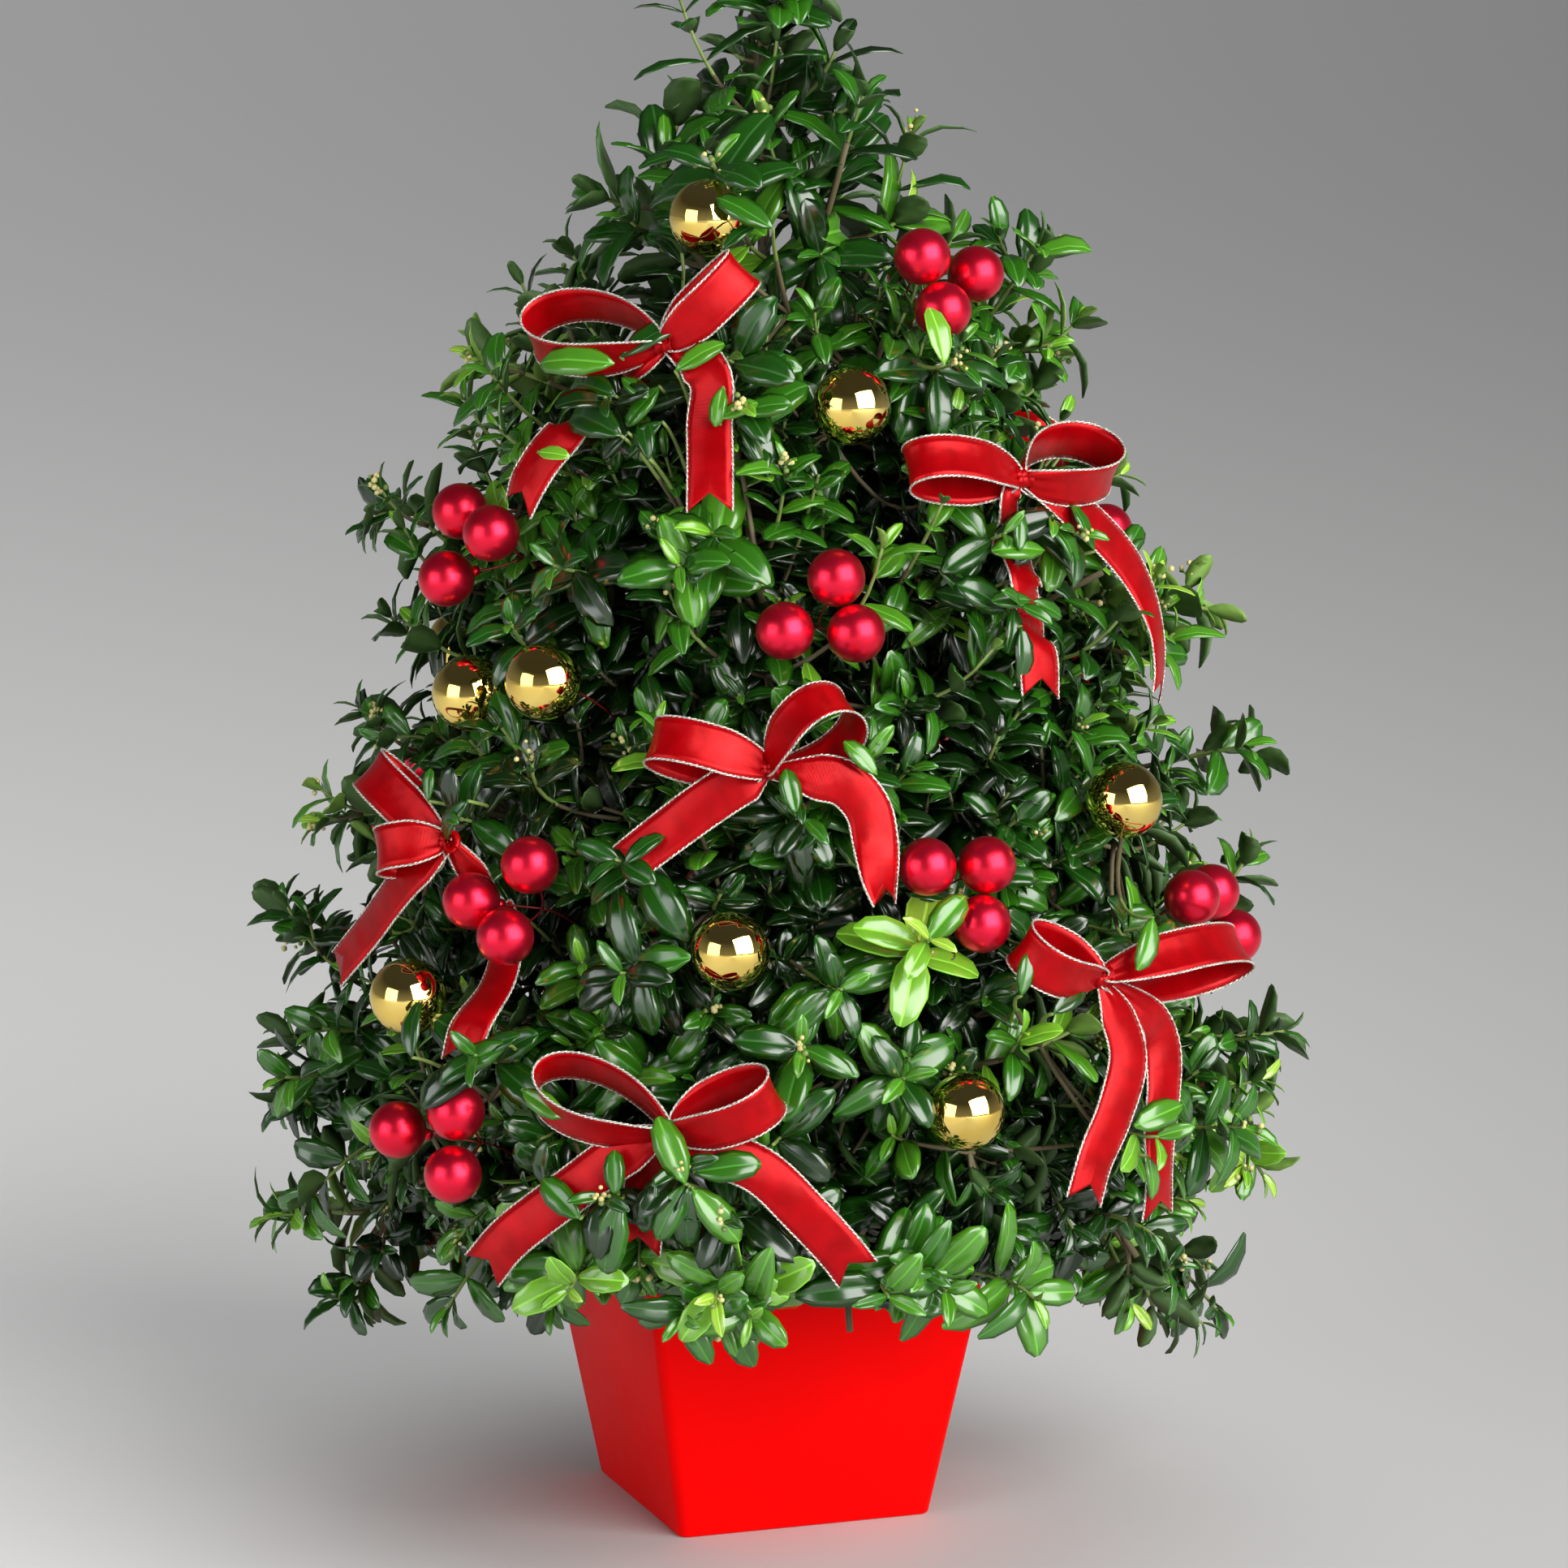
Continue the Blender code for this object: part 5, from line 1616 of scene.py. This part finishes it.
# Bows, gold balls and red balls on the near side: spots in the camera's picture and millimetres off the skin.
BOWS = (
    Bow((820, 425, 7), (Loop((660, 402, 9), 0.024, -52), Loop((916, 331, 12), 0.013, -24)), (
        ((786, 446, 4, 0), (764, 464, -22, 0), (740, 484, -24, 0), (719, 506, -5, 0), (697, 530, 5, -4),
         (670, 560, 6, -8), (648, 595, 7, -8), (636, 626, 5, 0)),
        ((859, 446, 9, 0), (875, 473, 7, 14), (873, 519, 5, 4), (874, 569, 6, 0), (874, 630, 7, -4)),
    )),
    Bow((1252, 591, 7), (Loop((1118, 573, 10), 0.018, 22), Loop((1357, 560, 12), 0.024, -40)), (
        ((1246, 613, 7, 0), (1243, 655, -4, 0), (1250, 683, -5, 0), (1262, 702, 1, -4), (1268, 726, 3, -8),
         (1266, 758, -4, 0), (1274, 779, 3, 0), (1281, 809, 6, 6), (1284, 859, 6, 0)),
        ((1300, 613, 9, 0), (1342, 640, 9, 5), (1385, 685, 9, 10), (1412, 730, 9, 6), (1428, 780, 9, -6),
         (1431, 830, 8, -17), (1427, 861, 6, -22)),
    )),
    Bow((948, 949, 7), (Loop((804, 914, 11), 0.019, 20), Loop((1046, 868, 13), 0.027, 40)), (
        ((916, 961, 9, 0), (866, 993, 8, -8), (815, 1030, 6, 0), (768, 1066, 7, 6)),
        ((996, 956, 9, 0), (1040, 965, 9, 10), (1069, 995, 7, 6), (1079, 1034, 6, 0), (1085, 1075, 8, -22),
         (1093, 1115, 8, -48)),
    )),
    Bow((553, 1037, 7), (Loop((467, 949, 9), 0.017, 24), Loop((476, 1053, 13), 0.018, 4)), (
        ((513, 1068, 9, 0), (484, 1101, 8, 0), (453, 1144, 6, 0), (412, 1194, 6, 0)),
        ((584, 1080, -3, 0), (605, 1114, -16, 0), (620, 1158, -17, 6), (611, 1209, -11, 0), (579, 1261, 2, -6),
         (564, 1310, 4, 0)),
    )),
    Bow((1352, 1204, 7), (Loop((1257, 1168, 9), 0.019, -36), Loop((1519, 1176, 12), 0.023, 31)), (
        ((1377, 1247, 9, 0), (1392, 1303, 9, 8), (1376, 1370, 8, 0), (1353, 1426, 8, -6), (1337, 1482, 7, 0)),
        ((1415, 1247, 6, 0), (1434, 1288, 4, 14), (1436, 1344, 4, 6), (1431, 1399, 5, 0), (1431, 1455, 6, -6),
         (1428, 1501, 6, 0)),
    )),
    Bow((825, 1393, 7), (Loop((666, 1329, 9), 0.021, -48), Loop((956, 1343, 11), 0.019, -30)), (
        ((766, 1421, 8, 0), (698, 1470, 6, 0), (628, 1524, 6, 8), (592, 1567, 6, 0)),
        ((874, 1416, 9, 0), (939, 1444, 8, -6), (993, 1497, 7, 0), (1035, 1543, 7, 6), (1058, 1572, 6, 0)),
        ((808, 1420, 0, 0), (800, 1440, -4, 0), (794, 1475, -6, 0), (788, 1512, -4, 0), (785, 1546, -3, 0)),
    )),
)
GOLD_BALLS = (
    (872, 268, -2), (1050, 500, -2), (670, 840, -2), (579, 854, -13), (900, 1172, -2), (1385, 986, -2),
    (503, 1228, -2), (1190, 1370, -2),
)
RED_TRIOS = (
    ((1138, 318), (1200, 338), (1162, 380)), ((567, 630), (605, 657), (550, 713)),
    ((1030, 713), (968, 777), (1054, 780)), ((648, 1072), (586, 1110), (622, 1148)),
    ((1143, 1068), (1216, 1066), (1210, 1138)), ((1470, 1107), (1493, 1100), (1519, 1152)),
    ((490, 1392), (562, 1370), (558, 1447)),
)


# Copies on the far side: the number of the one on the near side, and how it is turned and set higher there.
FAR_BOWS = ((0, 174, -0.055), (1, 153, 0.006), (2, 190, 0.0), (3, 189, 0.010), (4, 164, 0.020), (5, 178, 0.0))
FAR_BALLS = (
    (0, 172, -0.050), (1, 221, -0.105), (2, 190, -0.004), (4, 166, -0.014), (5, 160, 0.006), (6, 186, 0.0),
    (7, 204, 0.006),
)
FAR_TRIOS = (
    (0, 190, -0.097), (1, 173, 0.004), (2, 171, 0.004), (3, 189, 0.010), (4, 152, -0.022), (5, 166, 0.024),
    (6, 178, -0.002),
)


@dataclass
class Ribbon:
    """Strips of wired ribbon, joined: the satin in one mesh and the two edge wires in another."""

    crown: Crown
    width: float = 0.0155
    thickness: float = 0.0004
    notch: float = 0.0065
    fork_reach: float = 0.016
    step: float = 0.0014
    gathering: float = 0.78
    pleat: float = 0.0016
    cup: float = 0.0009
    wire_radius: float = 0.00045
    wire_step: float = 0.0008
    wire_sides: int = 5
    beads: Pair = (0.82, 1.12)
    bead_turn: float = 0.07
    loop_swell: float = 0.62
    band_radius: float = 0.0030
    columns: int = 7
    satin: Bundle = field(default_factory=Bundle)
    satin_map: list[Rows] = field(default_factory=list)
    wire: Bundle = field(default_factory=Bundle)
    wire_map: list[Rows] = field(default_factory=list)

    def strip(
        self, line: Rows, faces: Rows, gather: Rows, forked: bool = False, wired: bool = True
    ) -> None:
        """Lays one strip.

        Args:
            line: Its middle line.
            faces: The way that its face looks at each point of the line.
            gather: How far it is drawn together at each point, from 0 to 1.
            forked: Whether its far end is cut in a swallowtail.
            wired: Whether its edges are wired.
        """
        run = np.concatenate([[0], np.cumsum(np.linalg.norm(np.diff(line, axis=0), axis=1))])
        even = np.linspace(0, run[-1], max(int(run[-1] / self.step), 12))
        across_share = np.linspace(-1, 1, self.columns)

        columns = []
        reach = min(self.fork_reach, run[-1] / 3)
        for share in across_share:
            places = even.copy()
            if forked:
                late = places > run[-1] - reach
                kept = (reach - self.notch * (1 - abs(share))) / reach
                places[late] = run[-1] - reach + (places[late] - run[-1] + reach) * kept
            ahead, behind = (read_row(places + way, run, line) for way in (self.wire_step, -self.wire_step))
            along = units(ahead - behind)
            face = square_to(read_row(places, run, faces), along)
            middle, drawn = read_row(places, run, line), np.interp(places, run, gather)
            side = np.cross(along, face)
            width = self.width / 2 * (1 - self.gathering * drawn)
            pleat = np.sin(share * pi * 2.5) * self.pleat * drawn
            cup = -self.cup * (share**2) * (1 - drawn)
            columns.append((middle + side * (share * width)[:, None] + face * (pleat + cup)[:, None], face, places))
        self.add_satin(columns, across_share)
        for edge in (0, -1) if wired else ():
            self.add_wire(columns[edge][0], columns[edge][2])

    def add_satin(self, columns: list[tuple], shares: Rows) -> None:
        """Adds one strip's satin: a thin closed sheet lofted through its sections."""
        half = self.thickness / 2
        rings = []
        for index in range(len(columns[0][0])):
            top = [Vector(places[index] + face[index] * half) for places, face, _ in columns]
            under = [Vector(places[index] - face[index] * half) for places, face, _ in reversed(columns)]
            rings.append(top + under)
        shape = Shape.of(loft(rings), parted=False)
        self.satin.add(shape)
        across = np.tile(np.concatenate([shares, shares[::-1]]), len(rings))
        along = np.array([columns[0][2][i] for i in range(len(rings)) for _ in range(2 * len(shares))])
        self.satin_map.append(np.column_stack([across, along])[shape.corners])

    def add_wire(self, places: Rows, run: Rows) -> None:
        """Adds one edge wire, beaded like wound tinsel."""
        count = max(int(run[-1] / self.wire_step), 8)
        even, sides = np.linspace(0, run[-1], count), self.wire_sides
        line = read_row(even, run, places)
        wire = tube(line, sides, lambda index, _: self.wire_radius * self.beads[index % 2], self.bead_turn)
        shape = Shape.of(wire, parted=False)
        self.wire.add(shape)
        across = np.tile(np.arange(sides) / sides * 0.003, count)
        along = np.repeat(even, sides)
        self.wire_map.append(np.column_stack([across, along])[shape.corners])

    def loop(self, knot: Vector, loop: Loop) -> None:
        """Adds a loop: out from the knot, round and back."""
        tip = self.crown.at(*loop.tip)
        way = tip - knot
        length = way.length
        way.normalize()
        out = (self.crown.outward(loop.tip[0], loop.tip[1]) + Vector((knot.x, knot.y, 0)).normalized()).normalized()
        out = (out - way * out.dot(way)).normalized()
        lifted = way.cross(out)
        if lifted.z < 0:
            lifted = -lifted
        tilt = radians(loop.tilt)
        open_way = out * cos(tilt) + lifted * sin(tilt)
        line, faces, gather = [], [], []
        for turn in np.linspace(0, 2 * pi, 64):
            forward = length * (1 - cos(turn)) / 2
            apart = loop.depth * self.loop_swell * sin(turn) * abs(sin(turn / 2)) ** 0.7
            line.append(knot + way * forward + open_way * apart + out * 0.002)
            faces.append(open_way * sin(turn) - way * cos(turn) + open_way * 1e-3)
            near = min(turn, 2 * pi - turn) / pi
            gather.append(max(0.0, 1 - near / 0.42) ** 1.3)
        rows = np.array(line)
        normals = np.cross(tangents_of(rows), np.array(way.cross(open_way)))
        self.strip(rows, normals, np.array(gather))

    def tail(self, knot: Vector, points: Sequence[tuple[float, float, float, float]]) -> None:
        """Adds a tail that falls over the crown from the knot to a forked end."""
        places = [knot, *(self.crown.at(*point[:3]) for point in points)]
        turns = [points[0][3], *(point[3] for point in points)]
        outs = [self.crown.outward(*points[0][:2]), *(self.crown.outward(*point[:2]) for point in points)]
        row = smooth_row([[*place, *out, turn] for place, out, turn in zip(places, outs, turns)], 8)
        line = row[:, :3]
        along = tangents_of(line)
        faces = square_to(row[:, 3:6], along)
        turn = np.radians(row[:, 6])[:, None]
        faces = faces * np.cos(turn) + np.cross(along, faces) * np.sin(turn)
        share = np.linspace(0, 1, len(line))
        self.strip(line, faces, np.maximum(0, 1 - share / 0.22) ** 1.2, forked=True)

    def pinch(self, knot: Vector, out: Vector) -> None:
        """Adds the short band that pinches a bow together."""
        side = out.cross(UP).normalized()
        up = side.cross(out).normalized()
        radius = self.band_radius
        rows = np.array([
            knot + out * (radius / 2 + radius * cos(turn)) + up * radius * sin(turn)
            for turn in np.linspace(0, 2 * pi, 30)
        ])
        normals = np.cross(np.array(side), tangents_of(rows))
        outwards = rows - np.array(knot + out * radius / 2)
        flip = np.sign(np.sum(normals * outwards, axis=1, keepdims=True))
        self.strip(rows, normals * np.where(flip == 0, 1, flip), np.full(len(rows), 0.74), wired=False)

    def tie(self, bow: Bow) -> None:
        """Adds a whole bow."""
        knot = self.crown.at(*bow.knot)
        for loop in bow.loops:
            self.loop(knot, loop)
        for points in bow.tails:
            self.tail(knot, points)
        self.pinch(knot, self.crown.outward(*bow.knot[:2]))

    def finished(self, name: str, bundle: Bundle, maps: list, material: Material) -> None:
        """Makes a piece of a bundle, with its map."""
        mesh = bundle.mesh(name, [material])
        layer = mesh.uv_layers.new(name="along")
        layer.data.foreach_set("uv", np.concatenate(maps).astype(np.float32).ravel())
        piece(mesh)

    def build(self, name: str, satin: Material, silver: Material) -> None:
        """Makes both pieces."""
        self.finished(f"{name}_satin", self.satin, self.satin_map, satin)
        self.finished(f"{name}_edges", self.wire, self.wire_map, silver)


@dataclass
class Baubles:
    """Gold balls on their own and red balls in threes, each on a wire that runs into the crown."""

    crown: Crown
    gold_radius: float = 0.0133
    red_radius: float = 0.00985
    collar_height: float = 0.0030
    collar_shares: Pair = (0.16, 0.24)
    wire_radius: float = 0.0004
    gold: Bundle = field(default_factory=Bundle)
    red: Bundle = field(default_factory=Bundle)
    wires: Bundle = field(default_factory=Bundle)

    def ball(self, radius: float) -> Shape:
        """A ball with a collar at its stem, which points along -Z."""
        bm = bmesh.new()
        bmesh.ops.create_uvsphere(bm, u_segments=40, v_segments=24, radius=radius)
        stem = Matrix.Translation((0, 0, -radius - 0.0008))
        low, high = (radius * share for share in self.collar_shares)
        bmesh.ops.create_cone(
            bm, cap_ends=True, segments=16, radius1=low, radius2=high, depth=self.collar_height, matrix=stem
        )
        return Shape.of(bm)

    def set_ball(self, bundle: Bundle, shape: Shape, centre: Vector, out: Vector) -> None:
        """Adds a ball whose stem points into the crown."""
        turn = np.array(out.to_track_quat("Z", "Y").to_matrix())
        bundle.add(shape, shape.points @ turn.T + np.array(centre))

    def wire_row(self, points: Sequence[Vector]) -> None:
        """Adds a wire along points."""
        self.wires.add(Shape.of(tube(np.array(points), 6, lambda *_: self.wire_radius), parted=False))

    def place_gold(self, spots: Sequence[Triple]) -> None:
        """Sets the gold balls on the skin."""
        shape = self.ball(self.gold_radius)
        for spot in spots:
            centre, out = self.crown.at(*spot), self.crown.outward(*spot[:2])
            self.set_ball(self.gold, shape, centre, out)
            inner = centre - out * (self.gold_radius + 0.001)
            deep = inner - out * 0.030 + UP * -0.006
            self.wire_row(bezier(inner, inner - out * 0.014, deep, 10))

    def place_red(self, trios: Sequence[Sequence[Triple]]) -> None:
        """Sets the red balls, each trio's wires meeting in one stem."""
        shape = self.ball(self.red_radius)
        for trio in trios:
            centres = [self.crown.at(*spot) for spot in trio]
            middle = sum(centres, Vector()) / 3
            azimuth, height = (sum(spot[k] for spot in trio) / 3 for k in (0, 1))
            out = self.crown.outward(azimuth, height)
            centres = [middle + (centre - middle) * self.spacing(centres, middle) for centre in centres]
            meet = middle - out * 0.024
            for centre in centres:
                facing = (centre - meet).normalized()
                self.set_ball(self.red, shape, centre, facing)
                start = centre - facing * (self.red_radius + 0.001)
                self.wire_row(bezier(start, start - facing * 0.004 - out * 0.003, meet, 8))
            self.wire_row(bezier(meet, meet - out * 0.010, meet - out * 0.026 - UP * 0.006, 8))

    def spacing(self, centres: Sequence[Vector], middle: Vector) -> float:
        """How much a trio is spread out so that its balls just clear each other."""
        gaps = [(centres[i] - centres[j]).length for i, j in ((0, 1), (1, 2), (0, 2))]
        return max(1.0, (2 * self.red_radius + 0.0003) / max(min(gaps), 1e-6)) if min(gaps) > 0.012 else 1.0

    def build(self) -> None:
        """Makes the three pieces."""
        piece(self.gold.mesh("gold_balls", [GOLD_MIRROR.build()]))
        piece(self.red.mesh("red_balls", [RED_PEARL.build()]))
        wire = PlainFinish("red_wire", (0.20, 0.010, 0.012), roughness=0.35, metallic=0.4)
        piece(self.wires.mesh("ball_wires", [wire.build()]))


def far_side(point: Sequence[float], turn: float, shift: float) -> tuple[float, ...]:
    """The place on the far side that answers to a near one, turned and set higher or lower."""
    return (point[0] + turn, point[1] + shift, *point[2:])


@dataclass
class Decorations:
    """Every bow and ball, on all sides of the crown."""

    crown: Crown
    sight: "Sight"

    def build(self) -> None:
        """Makes the ribbons and the balls."""
        satin, silver = RibbonFinish().build(), WireFinish().build()
        bows = [bow.moved(self.sight.spot) for bow in BOWS]
        bows += [bows[index].moved(far_side, *move) for index, *move in FAR_BOWS]
        for number, bow in enumerate(bows, 1):
            ribbon = Ribbon(self.crown)
            ribbon.tie(bow)
            ribbon.build(f"bow_{number}", satin, silver)
        baubles = Baubles(self.crown)
        balls = [self.sight.spot(spot) for spot in GOLD_BALLS]
        baubles.place_gold(balls + [far_side(balls[index], *move) for index, *move in FAR_BALLS])
        trios = [[self.sight.spot((*spot, 1)) for spot in trio] for trio in RED_TRIOS]
        baubles.place_red(trios + [[far_side(spot, *move) for spot in trios[index]] for index, *move in FAR_TRIOS])
        baubles.build()

    def tree(self) -> BVHTree:
        """A search tree of everything that was made."""
        points, faces = [], []
        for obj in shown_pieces():
            if obj.name.startswith(("bow_", "gold_balls", "red_balls")) and "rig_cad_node" not in obj:
                offset = len(points)
                points += [vert.co.copy() for vert in obj.data.vertices]
                faces += [[offset + i for i in poly.vertices] for poly in obj.data.polygons]
        return BVHTree.FromPolygons(points, faces)


# ---- studio


@dataclass
class Studio:
    """The floor, the lights and the camera."""

    camera_place: Triple = (-0.6602, -1.8879, 0.570)
    camera_turn: float = -19.5
    camera_pitch: float = -8.7
    lens: float = 128.5
    sensor: float = 36.0
    picture: float = 1932.0

    def toward(self, right: float, forward: float, up: float) -> Vector:
        """A point to the right of the object, beyond it and above it, as the camera sees it."""
        turn = radians(self.camera_turn)
        return Vector((right * cos(turn) - forward * sin(turn),
                       right * sin(turn) + forward * cos(turn), up))

    def aim(self) -> Euler:
        """The way that the camera is turned."""
        return Euler((radians(90 + self.camera_pitch), 0, radians(self.camera_turn)))

    def ray(self, across: float, down: float) -> Rows:
        """The way from the camera to a spot of its picture, one metre deep; both in pixels, from the top left."""
        middle, focal = self.picture / 2, self.lens / self.sensor * self.picture
        way = Vector(((across - middle) / focal, (middle - down) / focal, -1.0))
        way.rotate(self.aim())
        return np.array(way)

    def build_camera(self) -> None:
        """The camera."""
        data = bpy.data.cameras.new("camera")
        data.lens = self.lens
        data.sensor_width = self.sensor
        data.clip_start = 0.05
        camera = bpy.context.scene.camera = link("camera", data)
        camera.location = self.camera_place
        camera.rotation_euler = self.aim()

    def add_light(
        self, name: str, place: Vector, size: Pair, watts: float, colour: tuple, mirrored: bool = True
    ) -> None:
        """A soft box that looks at the middle of the crown; mirrored says whether glossy things show it."""
        data = bpy.data.lights.new(name, "AREA")
        data.shape = "RECTANGLE"
        data.size, data.size_y = size
        data.energy = watts
        data.color = colour
        light = link(name, data)
        light.location = place
        light.rotation_euler = (place - Vector((0, 0, 0.28))).to_track_quat("Z", "Y").to_euler()
        light.visible_glossy = mirrored

    def build_floor(self) -> None:
        """A wide pale floor, painted lighter towards the camera's left and darker towards its right: painted light and
        shade that evens out how the lamps fall on it.
        """
        bm = bmesh.new()
        bmesh.ops.create_circle(bm, cap_ends=True, segments=96, radius=60)
        graph = Graph("pale_floor").set(Roughness=0.7)
        turned = graph.mapping()
        turned.node.inputs["Rotation"].default_value = (0, 0, radians(-self.camera_turn))
        across = graph.add("SeparateXYZ", "X", {"Vector": turned})
        ahead = graph.calculate("ADD", across.node.outputs["Y"], 2.0)
        bearing = graph.calculate("DIVIDE", across, ahead)
        place = graph.calculate("MULTIPLY_ADD", bearing, 3.5, 0.5)
        # Painted light and shade: the floor's grey runs from lighter on the camera's left to darker on its right.
        stops = [(0.0, (0.69, 0.69, 0.69)), (0.5, (0.575, 0.575, 0.575)), (1.0, (0.46, 0.46, 0.46))]
        graph.drive("Base Color", graph.ramp(place, stops))
        link("floor", mesh_of(bm, "floor", [graph.material]))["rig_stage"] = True

    def build(self) -> None:
        """Sets everything up."""
        scene = bpy.context.scene
        scene.world = self.light_world()
        scene.view_settings.view_transform = "Standard"
        self.build_floor()
        self.build_camera()
        self.add_light("key", self.toward(2.40, -2.60, 1.75), (3.9, 3.3), 285, (1.0, 0.99, 0.965))
        self.add_light("fill", self.toward(-2.2, -1.9, 0.62), (2.0, 2.0), 40, (0.97, 0.985, 1.0))
        self.add_sun()

    def light_world(self) -> bpy.types.World:
        """The room around: as pale as the floor at the horizon, and dim overhead."""
        graph = Graph("studio", world=True)
        up = graph.add("SeparateXYZ", "Z", {"Vector": graph.add("TexCoord", "Generated", {})})
        stops = [(place, (grey, grey, grey * 1.01)) for place, grey in ((0.0, 0.22), (0.55, 0.045))]
        graph.drive("Color", graph.ramp(up, stops))
        return graph.material

    def add_sun(self) -> None:
        """A wide, weak light from overhead, which keeps the far floor pale."""
        data = bpy.data.lights.new("overhead", "SUN")
        data.energy = 1.5
        data.angle = radians(70)
        light = link("overhead", data)
        light.rotation_euler = (radians(-18), radians(14), 0)
        light.visible_glossy = False


@dataclass
class Sight:
    """Finds where on the crown the camera sees a spot of its picture."""

    studio: Studio
    crown: Crown
    nearest: float = 1.65
    farthest: float = 2.25

    def spot(self, point: Sequence[float]) -> tuple[float, ...]:
        """Where a ray through the picture comes as near the skin as is asked, or else is nearest to it.

        Args:
            point: Pixels across and down, millimetres off the skin, and whatever else belongs to the point.

        Returns:
            Azimuth in degrees, height on the skin, millimetres off it, and the rest as it was.
        """
        across, down, asked, *rest = point
        depths = np.linspace(self.nearest, self.farthest, 301)[:, None]
        row = self.crown.standing(np.array(self.studio.camera_place) + depths * self.studio.ray(across, down))
        lifts = row[:, 2]
        met = int(np.argmax(lifts <= asked)) if lifts.min() <= asked else int(np.argmin(lifts))
        place = row[met]
        if met and lifts[met] <= asked:
            place = place + (row[met - 1] - place) * (asked - lifts[met]) / (lifts[met - 1] - lifts[met])
        return (*map(float, place), *rest)


# ---- the whole


def main() -> None:
    """Builds every piece in order."""
    logging.basicConfig(level=logging.INFO, format="%(name)s %(message)s")
    studio = Studio()
    studio.build()
    pot = Pot()
    pot.build_shell()
    pot.build_soil(random.Random(11))
    trunk = Trunk()
    growth = random.Random(7)
    sizes = Limbs(trunk)
    limbs = sizes.grow(growth)
    crown = Crown(trunk)
    main_spots = crown.spots(82, 0.006, growth)
    long_spots = []
    for turn, height, radius in LONG_SHOOTS:
        azimuth = radians(turn)
        long_spots.append((polar(azimuth, radius, height), polar(azimuth, 1, 0.25).normalized()))
    bark = Bark(BOXWOOD_BARK.build())
    bark.build_trunk(trunk, random.Random(3))
    bark.build_boughs(limbs, sizes, random.Random(4))
    sight = Sight(studio, crown)
    decorations = Decorations(crown, sight)
    decorations.build()
    overgrown = [(crown.at(*place), reach / 1000) for *place, reach in map(sight.spot, OVERGROWN)]
    clearance = Clearance(pot, decorations.tree(), overgrown)
    foliage = Foliage(limbs, crown, clearance, random.Random(21), main_spots, long_spots)
    foliage.grow_main_twigs()
    foliage.grow_fine_shoots()
    foliage.set_rosettes([*map(sight.spot, ROSETTES), *FAR_ROSETTES])
    foliage.lay_leaves([(sight.spot(row[:3]), sight.spot(row[3:6]), row[6]) for row in LAID_LEAVES])
    foliage.dress()
    foliage.build_leaves(leaf_materials())
    woody = PlainFinish("twig_bark", (0.105, 0.085, 0.040), roughness=0.7).build()
    green = PlainFinish("green_stem", (0.165, 0.235, 0.055), roughness=0.5).build()
    foliage.build_twigs(woody, green)
    foliage.build_buds(PlainFinish("cream_bud", (0.60, 0.53, 0.22), roughness=0.55).build(), green)


if __name__ == "__main__":
    main()
